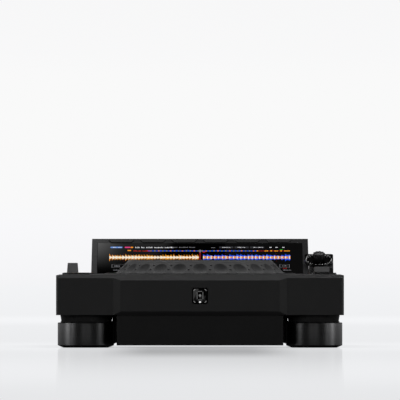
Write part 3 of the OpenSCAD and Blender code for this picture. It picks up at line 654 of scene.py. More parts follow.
class Form:
    """A mesh in the making, in millimetres of the frame."""

    def __init__(self, name: str, at: Matrix | None = None) -> None:
        """Starts an empty mesh whose points are given in the frame at.

        Args:
            name: Name of the piece.
            at: The frame, or nothing for the frame of the model.
        """
        self.name, self.at = name, at or Matrix()
        self.points: list[Vector] = []
        self.faces: list[list[int]] = []
        self.flat = True

    def add(self, points: Iterable[Solid], faces: Iterable[Sequence[int]]) -> None:
        """Adds points and the faces between them.

        Args:
            points: The points.
            faces: Numbers of the points of each face.
        """
        base = len(self.points)
        self.points += [self.at @ Vector(p) for p in points]
        self.faces += [[base + i for i in face] for face in faces]

    def grid(self, rows: Sequence[Sequence[Solid]], closed: bool = False, caps: Sequence[int] = ()) -> None:
        """Adds rows of points, each closed in itself, and the faces between them.

        Args:
            rows: The rows, all of the same length; a row may lie in one point.
            closed: Whether the last row joins the first.
            caps: Numbers of the rows that a face fills.
        """
        self.flat = False
        n, last = len(rows[0]), len(rows) - 1
        faces = [[k % len(rows) * n + i for i in range(n)] for k in caps]
        for k in range(last + closed):
            low, high = k * n, (k + 1) % len(rows) * n
            faces += [[low + i, low + (i + 1) % n, high + (i + 1) % n, high + i] for i in range(n)]
        self.add([p for row in rows for p in row], faces)

    def lathe(self, profile: Sequence[Flat], sides: int, closed: bool = True) -> None:
        """Turns a profile of (radius, height) round the upright axis."""
        self.grid([[(x, y, z) for x, y in circle(r, sides)] for r, z in profile], closed)

    def slab(self, outline: Sequence[Flat], low: float, high: float, soften: float) -> None:
        """A plate with softened upper edges.

        Args:
            outline: Its counter-clockwise outline.
            low: Height of its lower face.
            high: Height of its upper face.
            soften: Size of the softening.
        """
        rows = [(outline, low), (outline, high - soften), (shrink(outline, soften * 0.3), high - soften * 0.3),
                (shrink(outline, soften), high)]
        self.grid([[(x, y, z) for x, y in row] for row, z in rows], caps=(0, -1))

    def sheet(self, outline: Sequence[Flat], z: float = 0.0, x: float = 0.0, y: float = 0.0) -> None:
        """A thin flat area, such as a printed mark."""
        self.add([(px + x, py + y, z) for px, py in outline], [range(len(outline))])

    def bar(self, x0: float, x1: float, y0: float, y1: float, z: float = 0.0) -> None:
        """A thin flat rectangle between two corners."""
        self.sheet([(x0, y0), (x1, y0), (x1, y1), (x0, y1)], z)

    def line(self, x: float, y: float, long: float, wide: float, z: float = 0.0) -> None:
        """A thin flat rectangle round a point."""
        self.bar(x - long / 2, x + long / 2, y - wide / 2, y + wide / 2, z)

    def hoop(self, inner: float, outer: float, start: float = 0.0, end: float = 360.0, sides: int = 48,
             z: float = 0.0, x: float = 0.0, y: float = 0.0) -> None:
        """A thin flat ring, or a part of one.

        Args:
            inner: Inner radius.
            outer: Outer radius.
            start: Angle where it starts, in degrees.
            end: Angle where it ends.
            sides: Steps along it.
            z: Height.
            x: Middle.
            y: Middle.
        """
        turns = (math.radians(start + (end - start) * i / sides) for i in range(sides + 1))
        points = [(x + r * math.cos(a), y + r * math.sin(a), z) for a in turns for r in (inner, outer)]
        self.add(points, [[2 * i, 2 * i + 1, 2 * i + 3, 2 * i + 2] for i in range(sides)])

    def piece(self, finish: Finish, body: str, replaces: Sequence[str] = (), slot: str = "",
              sharp: float = 35.0) -> None:
        """Makes the mesh a piece of the model.

        Args:
            finish: Its finish.
            body: The frame body it moves with.
            replaces: Frame nodes that it stands for.
            slot: The record's material slot, or nothing; worked out but not used.
            sharp: Angle above which an edge stays sharp.
        """
        mesh = bpy.data.meshes.new(self.name)
        mesh.from_pydata([p * MM for p in self.points], [], self.faces)
        if not self.flat:
            work = bmesh.new()
            work.from_mesh(mesh)
            bmesh.ops.remove_doubles(work, verts=work.verts, dist=1e-7)
            bmesh.ops.recalc_face_normals(work, faces=work.faces)
            work.to_mesh(mesh)
            work.free()
        mesh.shade_smooth()
        mesh.set_sharp_from_angle(angle=math.radians(sharp))
        mesh.materials.append(finish.material())
        made = put(self.name, mesh)
        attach(made, body)
        if replaces:
            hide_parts(*replaces)
            slot = slot or SLOTS[replaces[0]]


def dress(finish: Finish, edge: float, *nodes: str) -> None:
    """Gives frame nodes their finish and softens their edges.

    Args:
        finish: The finish.
        edge: Width of the softened edges in millimetres, or 0.
        *nodes: Names of the nodes.
    """
    for node in nodes:
        part = frame["nodes"][node]
        part.data.materials.clear()
        part.data.materials.append(finish.material())
        if edge:
            part.modifiers.new("weld", "WELD").merge_threshold = 1e-6
            bevel = part.modifiers.new("edges", "BEVEL")
            bevel.limit_method, bevel.angle_limit = "ANGLE", math.radians(32)
            bevel.width, bevel.segments = edge * MM, 2
            bevel.use_clamp_overlap, bevel.harden_normals = False, True
            part.modifiers.new("normals", "WEIGHTED_NORMAL").keep_sharp = True


# Studio


@dataclass(frozen=True)
class SoftBox:
    """A square lamp that faces the object.

    One that fills lights matt surfaces, one that shows is seen in gloss.
    """

    name: str
    place: Solid
    aim: Solid
    width: float
    height: float
    level: float
    fills: bool = False
    shows: bool = True

    def build(self) -> None:
        """Adds the lamp; level is the brightness of its face."""
        lamp = bpy.data.lights.new(self.name, "AREA")
        lamp.shape, lamp.size, lamp.size_y = "RECTANGLE", self.width, self.height
        lamp.energy = self.level * math.pi * self.width * self.height
        held = put(self.name, lamp)
        held.location = self.place
        held.rotation_euler = (Vector(self.aim) - Vector(self.place)).to_track_quat("-Z", "Y").to_euler()
        held.visible_camera = False
        held.visible_diffuse, held.visible_glossy = self.fills, self.shows


@dataclass
class Studio:
    """The camera, the pale floor and the soft light, in metres."""

    eye: Solid = (0.0, -18.227, 0.1229)
    pitch: float = 90.1461
    lens: float = 1418.1
    floor_half: float = 24.0
    floor_gloss: float = 0.46
    floor_rough: float = 0.05
    grazing: Flat = (0.55, 0.8)
    fade: Flat = (-6.2, -1.0)
    # Painted contact shade: the floor's glow is darkened by this share where ambient occlusion finds the object
    # within the reach.
    painted_contact_shade: float = 0.12
    painted_shade_reach: float = 0.1
    # Painted shadow: a soft darker patch in the floor's glow in front of the tub, of this strength, between these
    # side, front and back edges.
    painted_shadow: float = 0.4
    painted_shadow_side: Flat = (0.12, 0.05)
    painted_shadow_front: Flat = (-2.0, -0.7)
    painted_shadow_back: Flat = (0.1, -0.3)
    lit_share: float = 0.05
    bounce: float = 0.05
    tone_range: Flat = (-7.0, 24.0)
    tones: tuple[Flat, ...] = (
        (-7.0, 231.0), (-5.34, 232.0), (-3.6, 233.3), (-2.13, 235.0), (-0.67, 236.3), (1.08, 237.6), (3.2, 239.0),
        (5.9, 240.2), (9.4, 241.3), (14.0, 242.4), (20.0, 243.4), (24.0, 243.9),
    )
    wall: tuple[tuple[float, Solid], ...] = (
        (0.0, (241, 242, 244)), (0.06, (243.4, 243.8, 245.6)), (0.09, (245, 245, 247)),
        (0.167, (246.6, 246.8, 248.4)), (0.25, (248, 248, 250)), (0.33, (249, 249, 249)),
        (0.72, (249, 249, 249)), (0.8, (248, 248, 248.5)), (1.0, (247, 247, 247.5)),
    )
    card_x: Flat = (-0.26, 0.03)
    card_z: Flat = (0.18, 0.36)
    card_y: float = 0.5
    card_top: Flat = (0.318, 0.262)
    card_side: Flat = (-0.085, -0.135)
    card_slant: Flat = (-0.028, -0.045)
    card_levels: Flat = (0.42, 0.075)

    def sheet(self, name: str, corners: Sequence[Solid], made: bpy.types.Material) -> bpy.types.Object:
        """A flat mesh of the stage, with four corners and one material.

        Args:
            name: Its name.
            corners: Its corners.
            made: Its material.

        Returns:
            The object.
        """
        mesh = bpy.data.meshes.new(name)
        mesh.from_pydata(corners, [], [(0, 1, 2, 3)])
        mesh.materials.append(made)
        held = put(name, mesh)
        return held

    def camera(self) -> None:
        """Puts the camera far in front, a little above the floor."""
        lens = bpy.data.cameras.new("camera")
        lens.lens, lens.sensor_width = self.lens, 36.0
        lens.clip_start, lens.clip_end = 0.1, 100.0
        held = put("camera", lens)
        held.location = self.eye
        held.rotation_euler = (math.radians(self.pitch), 0.0, 0.0)
        bpy.context.scene.camera = held

    def world(self) -> None:
        """Pale for the camera; for gloss, a pale wall behind a dark studio."""
        world = bpy.data.worlds.new("studio")
        bpy.context.scene.world = world
        world.use_nodes = True
        graph = Graph(world.node_tree)
        _, y, z = graph.axes(graph.sig("TexCoord", port="Generated"))
        wall = graph.ramp((z + 0.004) * 50.0, [(place, linear(*tone)) for place, tone in self.wall])
        seen, mirrored, through = graph.rays("Camera", "Glossy", "Transmission")
        gloss = mirrored + through
        shown = seen + gloss * (z.step(0.22, 0.1) * y.step(-0.25, 0.25)) * 0.5
        fill = graph.blend(gloss, (0.1, 0.1, 0.102), (0.012, 0.012, 0.012))
        surface = graph.sig("Background", None, {"Color": graph.blend(shown, fill, wall), "Strength": 1.0})
        graph.node("OutputWorld", None, {"Surface": surface})

    def floor(self) -> None:
        """A pale floor with a faint reflection, a faint real shadow, and painted shade in its glow.

        Only the camera sees it pale, so that it doesn't light the object
        from below. It mirrors at grazing angles only.
        """
        made, graph = new_material("floor_paper")
        where = graph.place()
        x, y, _ = graph.axes(where)
        near, far = self.tone_range
        stops = [((v - near) / (far - near), linear(g - 1.3, g - 0.3, g + 1.6)) for v, g in self.tones]
        tone = graph.ramp((y - near) / (far - near), stops)
        away = graph.away(where)
        # Painted contact shade near the object, from ambient occlusion.
        ambient = {"Distance": self.painted_shade_reach}
        covered = 1.0 - graph.sig("AmbientOcclusion", {"samples": 12}, ambient, port="AO")
        # Painted shadow: a soft darker patch in the floor's glow in front of the tub.
        out, into = self.painted_shadow_side
        painted_shadow = x.step(-out, -into) * x.step(out, into) * y.step(*self.painted_shadow_front) * y.step(*self.painted_shadow_back)
        grazing = graph.sig("LayerWeight", None, {"Blend": 0.5}, port="Facing").step(*self.grazing)
        sheen = grazing * y.step(*self.fade) * away.step(8.0, 4.0) * self.floor_gloss
        shade = (1.0 - covered * self.painted_contact_shade - painted_shadow * self.painted_shadow) * (1.0 + sheen)
        camera, = graph.rays("Camera")
        strength = shade * (camera * (1 - self.bounce) + self.bounce)
        glow = graph.sig("Emission", None, {"Color": tone, "Strength": strength})
        lit = graph.blend(camera, (self.bounce, self.bounce, self.bounce), tone)
        paper = graph.sig("BsdfDiffuse", None, {"Color": lit})
        share = away.step(1.2, 0.4) * self.lit_share
        base = graph.sig("MixShader", None, {0: share, 1: glow, 2: paper})
        gloss = graph.sig("BsdfGlossy", None, {"Color": tone, "Roughness": self.floor_rough})
        both = graph.sig("MixShader", None, {0: sheen, 1: base, 2: gloss})
        graph.node("OutputMaterial", None, {"Surface": both})
        half = self.floor_half
        self.sheet("floor", [(sx * half, sy * half, 0) for sx, sy, _ in CORNERS[2:] + CORNERS[:2]], made)

    def card(self) -> None:
        """A small lit card behind, to the left, for the glass to show."""
        made, graph = new_material("card_light")
        x, _, z = graph.axes(graph.place())
        low = z.step(*self.card_top)
        broad = (x + (z - 0.28) * 0.8).step(*self.card_slant)
        strong, weak = self.card_levels
        level = low * x.step(*self.card_side) * strong + broad * low * weak
        inputs = {"Color": graph.blend(level, (0, 0, 0), (1, 1, 1)), "Strength": 1.0}
        graph.node("OutputMaterial", None, {"Surface": graph.sig("Emission", None, inputs)})
        (x0, x1), (z0, z1), y = self.card_x, self.card_z, self.card_y
        held = self.sheet("card", [(x0, y, z0), (x1, y, z0), (x1, y, z1), (x0, y, z1)], made)
        held.visible_camera = held.visible_diffuse = held.visible_shadow = False

    def lamps(self) -> None:
        """A box overhead, two strips for the knob, three boxes at each side, a front fill."""
        fill = {"fills": True, "shows": False}
        SoftBox("overhead", (0, 0.24, 1.5), (0, -0.15, 0.09), 2.6, 0.45, 28.0, **fill).build()
        for name, x in (("left", 0.1275), ("right", 0.1495)):
            SoftBox(f"knob_{name}", (x, 0.46, 0.53), (x, 0.05, 0.09), 0.008, 0.06, 3.0).build()
        for kind, place, aim, *rest in (
            ("low", (0.52, -3.0, 0.2), (0.13, -0.2, 0.02), 0.75, 0.5, 0.4),
            ("strip", (1.35, -0.42, 0.4), (0.13, -0.2, 0.1), 0.36, 0.9, 2.0),
            ("cross", (1.3, -1.0, 0.4), (-0.13, -0.2, 0.1), 0.22, 0.8, 1.2),
        ):
            for side, name in ((-1, "left"), (1, "right")):
                ends = ((side * x, y, z) for x, y, z in (place, aim))
                SoftBox(f"{name}_{kind}", *ends, *rest).build()
        SoftBox("front_fill", (0, -2.8, 0.9), (0, 0, 0.08), 2.2, 1.1, 6.0, **fill).build()

    def build(self) -> None:
        """Builds the whole studio."""
        self.camera()
        self.world()
        self.floor()
        self.card()
        self.lamps()
        bpy.context.scene.view_settings.view_transform = "Standard"


# Sub-assemblies


@dataclass
class CaseShell:
    """The upper case and what is printed on its deck."""

    edge: float = 0.35
    lift: float = 0.03
    pitch: float = 5.0
    key_bars: tuple[tuple[str, float], ...] = (
        ("loop_in", 10.5), ("loop_out", 10.5), ("reloop", -10.5), ("sync", 10.5), ("master", 10.5),
    )

    def build(self) -> None:
        """Dresses the shell and prints the deck."""
        dress(CASE, self.edge, "top_case")
        low, _, fader = spot("fader_plate")
        deck = low.z + self.lift
        ink = Form("deck_scale_marks")
        for i in range(-10, 11):
            long = 2.4 if i % 5 else 4.2
            ink.line(low.x - 1.5 - long / 2, fader.y + i * self.pitch, long, 0.36, deck)
        ink.piece(PRINT, "root")
        bars = Form("deck_key_marks")
        for name, shift in self.key_bars:
            _, _, middle = spot(f"{name}_key")
            bars.line(middle.x, middle.y + shift, 6, 0.6, deck)
        for name in ("track", "search"):
            low, _, middle = spot(f"{name}_back_key")
            bars.line(low.x + 3.5, middle.y + 7.05, 5, 0.5, deck)
        for name in ("play", "cue"):
            _, high, middle = spot(f"{name}_button")
            bars.line(high.x + 3.5, middle.y, 4, 0.6, deck)
        bars.piece(PRINT_DIM, "root")


@dataclass
class LowerCase:
    """The tub with its trays, the collars and the screws."""

    def build(self) -> None:
        """Dresses the pieces under the upper case."""
        dress(TUB, 0.5, "lower_case")
        dress(TUB, 0.25, "foot_collars")
        dress(ZINC, 0.15, "screws")


@dataclass
class Feet:
    """Four turned metal cups on rubber pads."""

    radius: float = 32.25
    cup_wall: float = 5.0
    top_wall: float = 4.0
    edge: float = 0.6
    bolt: float = 3.2
    pad_fit: float = 0.1
    pad_bore: float = 8.0
    pad_cut: float = 6.6
    pad_edge: float = 0.3

    def build(self) -> None:
        """Turns a cup and a pad at each corner."""
        low, high, _ = spot("feet")
        r, top, rim, foot = self.radius, high.z, low.z, spot("foot_pads")[0].z
        inner, roof = r - self.cup_wall, top - self.top_wall
        plug = inner - self.pad_fit
        cup = [(self.bolt, top), (r - self.edge, top), (r, top - self.edge), (r, rim), (inner, rim), (inner, roof),
               (self.bolt, roof)]
        pad = [(self.pad_bore, foot), (r - self.pad_cut, foot), (r - self.pad_edge, rim), (plug, rim),
               (plug, roof), (self.pad_bore, roof)]
        first = True
        for end, y in (("front", low.y + r), ("rear", high.y - r)):
            for side, x in (("left", low.x + r), ("right", high.x - r)):
                for kind, node, profile, soft, sides, finish, slot in (
                    ("cup", "feet", cup, 0.35, 128, FOOT, "foot_metal"),
                    ("pad", "foot_pads", pad, 0.3, 96, RUBBER, "rubber_black"),
                ):
                    form = Form(f"foot_{kind}_{end}_{side}", moved(x, y))
                    form.lathe(ease(profile, soft), sides)
                    form.piece(finish, "root", (node,) if first else (), slot)
                first = False


@dataclass
class TouchBadge:
    """The glossy touch badge in the front, with a lamp and a plain glyph."""

    corner: float = 3.0
    glyph_half: Flat = (3.3, 4.9)
    stroke: float = 0.6

    def build(self) -> None:
        """Builds the plate and its marks; local y is up, z points forward."""
        low, high, middle = spot("front_badge")
        width, tall, thick = high.x - low.x, high.z - low.z, high.y - low.y
        plate, marks, glyph, sheen, lamp = (
            Form(f"badge_{name}", moved(middle.x, high.y, middle.z, 90))
            for name in ("plate", "marks", "glyph", "sheen", "lamp")
        )
        plate.slab(round_rect(width, tall, self.corner), 0, thick - 0.06, 0.3)
        plate.piece(GLOSS, "root", ("front_badge",))
        face = thick - 0.02
        # The corner marks and the glyph are print drawn glowing: painted light that keeps them bright under any
        # lamp.
        for sx, sy, turn in CORNERS:
            marks.hoop(2.0, 2.7, turn + 12, turn + 78, 8, face, sx * (width / 2 - 4.2), sy * (tall / 2 - 4.0))
        marks.piece(Lit("badge_marks_painted_glow", grey(128)), "root")
        w, h = self.glyph_half
        for side in (-1, 1):
            glyph.line(side * w, 0.3, self.stroke, 2 * h - 1.8, face)
            glyph.line(0, side * h + 0.2, 2 * w - 1.6, self.stroke, face)
        glyph.sheet(circle(1.5, 16), face, 0, 0.4)
        glyph.piece(Lit("badge_glyph_painted_glow", grey(112)), "root")
        # A painted highlight: a faint glowing diagonal patch on the upper left of the glossy plate.
        x0, y1 = -width / 2 + 1.2, tall / 2 - 1.2
        sheen.sheet([(x0, -5.0), (x0 + 6.4, y1), (x0 + 1.6, y1), (x0, y1 - 1.6)], face - 0.01)
        sheen.piece(Lit("badge_sheen", grey(50), 0.2), "root")
        lamp.sheet(round_rect(2.4, 1.6, 0.75), face, 0, -tall / 2 + 2.1)
        lamp.piece(Lit("badge_white", grey(250)), "root")


class Tint(Enum):
    """Colours of the lit picture."""

    ORANGE = linear(245, 150, 18)
    AMBER = linear(255, 196, 70)
    SALMON = linear(206, 126, 110)
    CREAM = linear(255, 246, 226)
    BLUE = linear(16, 82, 236)
    SKY = linear(92, 140, 214)
    ROSE = linear(226, 60, 130)
    RED = linear(196, 26, 14)
    MAROON = linear(126, 10, 18)
    GREEN = linear(30, 160, 24)
    STONE = linear(128, 128, 132)
    SLATE = linear(46, 46, 50)
    WHITE = linear(236, 236, 240)

    def finish(self) -> Lit:
        """The lit finish of this colour."""
        return Lit(f"picture_{self.name.lower()}", self.value, 0.05, 0.5)


@dataclass
class Picture:
    """The generic picture on the main display, as thin lit areas.

    x runs right from the middle, y up the slope from the glass's upper edge.
    Each area has a layer, which is its height over the glass.
    """

    at: Matrix
    half: float = 105.5
    base: float = 0.03
    layer: float = 0.01
    forms: dict[Tint, Form] = field(default_factory=dict)

    def on(self, tint: Tint) -> Form:
        """The mesh that collects this colour.

        Args:
            tint: The colour.

        Returns:
            The mesh, made at its first use.
        """
        if tint not in self.forms:
            self.forms[tint] = Form(f"picture_{tint.name.lower()}", self.at)
        return self.forms[tint]

    def bar(self, tint: Tint, x0: float, x1: float, y0: float, y1: float, layer: int = 0) -> None:
        """A rectangle between two corners."""
        self.on(tint).bar(x0, x1, y0, y1, self.base + layer * self.layer)

    def area(self, tint: Tint, outline: Sequence[Flat], x: float = 0.0, y: float = 0.0, layer: int = 1) -> None:
        """An area of any outline, shifted to a point."""
        self.on(tint).sheet(outline, self.base + layer * self.layer, x, y)

    def build(self) -> None:
        """Draws the picture."""
        self.header()
        self.overview()
        self.main_wave()
        self.lower_half()
        for tint, form in self.forms.items():
            form.piece(tint.finish(), "root", slot="screen_glass")

    def text(self, tint: Tint, start: float, end: float, y: float, tall: float, seed: int) -> None:
        """A run of small strokes in words, like a line of writing.

        Args:
            tint: Its colour.
            start: Where it starts in x.
            end: Where it ends.
            y: Middle line.
            tall: Half of its height.
            seed: Seed of the random strokes.
        """
        rng = random.Random(seed)
        x = start
        while x < end:
            for _ in range(rng.randint(3, 7)):
                wide = rng.uniform(0.6, 1.3)
                self.bar(tint, x, x + wide, y - tall, y + tall * rng.uniform(-0.1, 1.0), 2)
                x += wide + rng.uniform(0.4, 0.8)
            x += 1.5

    def header(self) -> None:
        """Tags, a line of writing and three tabs along the upper edge."""
        half, y = self.half, -22.0
        self.area(Tint.SKY, round_rect(14, 7.0, 1.5), -half + 8, y)
        self.text(Tint.WHITE, -half + 4, -half + 11, y, 1.8, 31)
        self.area(Tint.ROSE, round_rect(6.6, 6.2, 1.4), -half + 21, y)
        self.area(Tint.ORANGE, round_rect(3.0, 6.2, 1.0), -half + 26, y)
        self.text(Tint.WHITE, -half + 30, -36, y, 3.2, 4)
        self.text(Tint.STONE, -34, -8, y + 0.6, 2.4, 7)
        self.bar(Tint.STONE, 13, 17.5, y - 2.4, y - 0.6, 1)
        for i in range(3):
            middle = 30.6 + i * 18
            self.area(Tint.SLATE, round_rect(16.5, 8, 1.2), middle, y)
            self.text(Tint.WHITE, middle - 4.5, middle + 3.5, y, 1.6, 40 + i)
        for x in (81, 88, 96):
            self.bar(Tint.WHITE, x, x + 2.6, y - 1.5, y + 1.5, 1)

    def overview(self) -> None:
        """A row of small coloured blocks: the whole track."""
        half, y = self.half, -39.5
        rng = random.Random(9)
        self.bar(Tint.ORANGE, -half + 21, -half + 25, y - 0.6, y + 4.4)
        self.text(Tint.RED, -half + 28, -half + 42, y, 2.6, 12)
        x, k = -half + 45, 0
        early = (Tint.BLUE, Tint.STONE, Tint.BLUE, Tint.STONE, Tint.BLUE, Tint.SALMON)
        while x < half - 1:
            late = x > half - 40
            tint = (Tint.ORANGE, Tint.MAROON)[rng.random() < 0.4] if late else early[k % len(early)]
            self.bar(tint, x, x + 1.9, y - 2.6, y + rng.uniform(1.4, 2.8))
            x += 2.3
            k += 1
        self.area(Tint.GREEN, [(-2.3, 7.4), (0, 3.0), (2.3, 7.4)], half - 10.7, y)
        self.area(Tint.RED, [(-2.2, -4.4), (0, -9.4), (2.2, -4.4)], 4.6, y)

    def wave(self, tint: Tint, seed: int, span: tuple[int, float, float, float], shape: Sequence[float],
             layer: int = 0) -> None:
        """A wave of thin bars with a peak at each beat.

        Args:
            tint: Its colour.
            seed: Seed of the random part.
            span: Number of bars, where it starts, step in x, middle line.
            shape: Height at a beat, bars from beat to beat, the share of the
                height that never drops and, if any, the share of each beat
                without a bar.
            layer: Its layer.
        """
        count, x0, pitch, y = span
        tall, period, hold, gap = (*shape, 0.0)[:4]
        rng = random.Random(seed)
        peak = 1.0
        for i in range(count):
            if i % period == 0:
                peak = rng.uniform(0.6, 1.0)
            phase = (i % period) / period
            decay = hold + (1 - hold) * (1 - phase) ** 1.5
            reach = 0.0 if phase > 1 - gap else tall * peak * decay * rng.uniform(0.8, 1.0)
            if reach > 0.2:
                self.bar(tint, x0 + i * pitch, x0 + (i + 0.94) * pitch, y - reach, y + reach, layer)

    def main_wave(self) -> None:
        """The large wave, amber before the play line and blue behind it."""
        half, y, pitch, right_x = self.half, -72.5, 0.62, 3.6
        left = int((half - 1.0) / pitch), -half, pitch, y
        right = int((half - right_x) / pitch), right_x, pitch, y
        self.wave(Tint.ORANGE, 2, left, (18.0, 5, 0.2))
        self.wave(Tint.AMBER, 21, left, (11.5, 6, 0.3), 1)
        self.wave(Tint.CREAM, 3, left, (11.0, 6, 0.25), 2)
        self.wave(Tint.BLUE, 5, right, (18.0, 7, 0.62))
        self.wave(Tint.ORANGE, 6, right, (9.5, 7, 0.6, 0.2), 1)
        self.wave(Tint.CREAM, 8, right, (9.5, 7, 0.5, 0.8), 2)
        self.bar(Tint.MAROON, -0.9, 0.9, y - 12, y + 26, 3)
        self.bar(Tint.STONE, -0.9, 0.9, y + 26, y + 38, 3)
        for i in range(-14, 15):
            x = i * 7.4
            if i % 4:
                self.bar(Tint.SLATE, x - 0.25, x + 0.25, y - 18.5, y - 17.5)
                continue
            for side in (-18, 18):
                self.bar(Tint.MAROON, x - 0.35, x + 0.35, y + side - 0.7, y + side + 0.7)

    def lower_half(self) -> None:
        """Below the wave: a second wave, boxes of strokes and six blocks."""
        half, pitch = self.half, 0.9
        span = int(1.12 * half / pitch), -half + 46, pitch, -107.0
        self.wave(Tint.SKY, 12, span, (6.0, 23, 0.5))
        self.wave(Tint.CREAM, 13, span, (2.6, 23, 0.4), 1)
        self.frame(-half + 3, -half + 18, -123.0, -107.0)
        self.text(Tint.STONE, -half + 6, -half + 13, -115.0, 2.8, 51)
        self.text(Tint.STONE, -half + 5, -half + 13, -135.0, 2.2, 52)
        self.frame(half - 13, half - 1.5, -123.0, -107.0)
        self.text(Tint.WHITE, half - 27, half - 24, -114.0, 2.6, 53)
        self.text(Tint.STONE, half - 10, half - 5, -114.0, 2.6, 54)
        self.text(Tint.RED, half - 9, half - 5, -126.0, 1.8, 55)
        self.text(Tint.STONE, half - 9, half - 4, -135.0, 2.2, 56)
        for i, tint in enumerate((Tint.SKY, Tint.ROSE, Tint.ORANGE, Tint.RED, Tint.BLUE, Tint.CREAM), 1):
            x = -half + (i + 0.5) * half / 4
            self.area(Tint.SLATE, round_rect(24, 10, 2), x, -133.0, 0)
            self.bar(tint, x - 10, x + 10, -137.0, -135.6, 1)
            self.bar(Tint.STONE, x - 6, x + 2 + i % 3, -132.4, -130.8, 1)

    def frame(self, x0: float, x1: float, y0: float, y1: float, line: float = 0.45) -> None:
        """A thin outlined box.

        Args:
            x0: Left side.
            x1: Right side.
            y0: Lower side.
            y1: Upper side.
            line: Width of the outline.
        """
        for y in (y0, y1 - line):
            self.bar(Tint.STONE, x0, x1, y, y + line)
        for x in (x0, x1 - line):
            self.bar(Tint.STONE, x, x + line, y0, y1)


@dataclass
class DisplayPod:
    """The sloping housing, its glass, its picture and six keys."""

    tilt: float = 13.4
    glass_thick: float = 1.3
    lower_frame: float = 5.0
    lip: float = 0.62

    def build(self) -> None:
        """Dresses the housing, draws the picture and blackens the lower border."""
        dress(HOUSING, 0.3, "display_housing")
        dress(GLASS, 0.0, "display_glass")
        dress(CAN, 0.2, "display_panel")
        dress(KEY, 0.2, *(f"menu_key_{i}" for i in range(1, 7)))
        low, high, _ = spot("display_glass")
        lean = math.radians(self.tilt)
        edge = self.glass_thick * math.sin(lean)
        at = moved(0.0, high.y - edge, high.z, self.tilt)
        Picture(at).build()
        length = (high.y - low.y - edge) / math.cos(lean)
        half = (high.x - low.x) / 2
        strip = Form("display_lower_border", at)
        strip.bar(-half, half, -length - self.lower_frame + 0.05, -length + 0.3, 0.03)
        front, _, _ = spot("display_housing")
        lip = Form("display_front_lip", moved(0, front.y - LIFT, front.z, 90))
        lip.bar(-half, half, 0.0, self.lip)
        for form in (strip, lip):
            form.piece(GLASS, "root", slot="screen_glass")


@dataclass
class BrowseKnob:
    """The fluted knob in its dished ring, on a sloping stand."""

    tilt: float = 23.5
    radius: float = 7.0
    flutes: int = 10
    first: float = 27.0
    flute_r: float = 2.2
    flute_deep: float = 0.9
    corner: float = 2.5
    fit: float = 3.06
    ring_t: float = 3.0
    ring_edge: float = 0.7
    dish: float = 1.8
    foot: float = -0.8
    top: float = 7.8
    roof: float = 4.2
    steps: int = 16

    def build(self) -> None:
        """Builds the ring, its marks and the knob."""
        dress(HOUSING, 0.3, "browse_stand")
        dress(ZINC, 0.1, "browse_shaft")
        low, high, middle = spot("browse_ring")
        r = (high.x - low.x) / 2
        lean = math.radians(self.tilt)
        y = low.y + r * math.cos(lean) - self.ring_edge * math.sin(lean)
        at = moved(middle.x, y, high.z - (r - self.ring_edge) * math.sin(lean), self.tilt)
        self.ring(at, r)
        marks = Form("browse_ring_marks", at)
        for turn in range(0, 360, 15):
            marks.hoop(r - 2.4, r - 1.2, turn - 1.0, turn + 1.0, 2, LIFT)
        marks.piece(PRINT, "root")
        self.knob(at)

    def outline(self, reach: float) -> list[Flat]:
        """The ring's outline: round in front, square with eased corners behind.

        Args:
            reach: Half of its width.

        Returns:
            Its points, from the right side through the front.
        """
        c, half = self.corner, self.steps // 4
        turns = (math.pi * i / self.steps for i in range(self.steps + 1))
        points = [(reach * math.cos(a), -reach * math.sin(a)) for a in turns]
        for side, start in ((-1, 180.0), (1, 90.0)):
            turns = (math.radians(start - 90.0 * i / half) for i in range(half + 1))
            points += [(side * (reach - c) + c * math.cos(a), reach - c + c * math.sin(a)) for a in turns]
        return points

    def ring(self, at: Matrix, r: float) -> None:
        """The glossy ring: an eased plate with a round dish in it.

        Args:
            at: The frame in the middle of its upper face.
            r: Half of its width.
        """
        deep = -self.dish
        plate = ((0.0, -self.ring_t), (0.0, -0.7), (0.2, -0.2), (0.7, 0.0))
        dish = ((r - 2.6, 0.0), (r - 2.9, -0.12), (r - 3.5, deep + 0.3), (r - 4.2, deep), (self.fit, deep),
                (self.fit, -self.ring_t))
        turns = [math.atan2(y, x) for x, y in self.outline(r)]
        rows = [[(x, y, z) for x, y in self.outline(r - inset)] for inset, z in plate]
        rows += [[(reach * math.cos(a), reach * math.sin(a), z) for a in turns] for reach, z in dish]
        form = Form("browse_ring_turned", at)
        form.grid([row[::-1] for row in rows], closed=True)
        form.piece(RING, "root", ("browse_ring",))

    def cut(self, turn: float) -> float:
        """How deep the flutes cut into the knob at an angle, in radians.

        Args:
            turn: The angle.

        Returns:
            The depth, 0 between two flutes.
        """
        centre = self.radius + self.flute_r - self.flute_deep
        off = (turn - math.radians(self.first)) * self.flutes
        off = ((off + math.pi) % math.tau - math.pi) / self.flutes
        across = centre * math.sin(off)
        if abs(across) >= self.flute_r:
            return 0.0
        return max(0.0, self.radius - centre * math.cos(off) + math.sqrt(self.flute_r**2 - across**2))

    def knob(self, at: Matrix) -> None:
        """The knob: its bore, ten wide flutes, an eased top edge and a dished cap.

        Args:
            at: The frame in the middle of the ring's upper face.
        """
        r, foot, top = self.radius, self.foot, self.top
        rows = ((self.fit, self.roof, 0.0), (self.fit, foot, 0.0), (r - 0.2, foot, 1.0), (r, foot + 0.3, 1.0),
                (r, top - 0.35, 1.0), (r - 0.12, top - 0.1, 1.0), (r - 0.4, top, 0.9), (r - 1.5, top, 0.3),
                (r - 1.9, top - 0.3, 0.0), (1.2, top - 0.5, 0.0))
        sides = self.flutes * self.steps
        turns = [math.tau * i / sides for i in range(sides)]
        form = Form("browse_knob_fluted", at)
        form.grid([[((reach - self.cut(a) * share) * math.cos(a), (reach - self.cut(a) * share) * math.sin(a), z)
                    for a in turns] for reach, z, share in rows], caps=(0, -1))
        form.piece(KNOB, "browse_turn", ("browse_knob",), sharp=30.0)


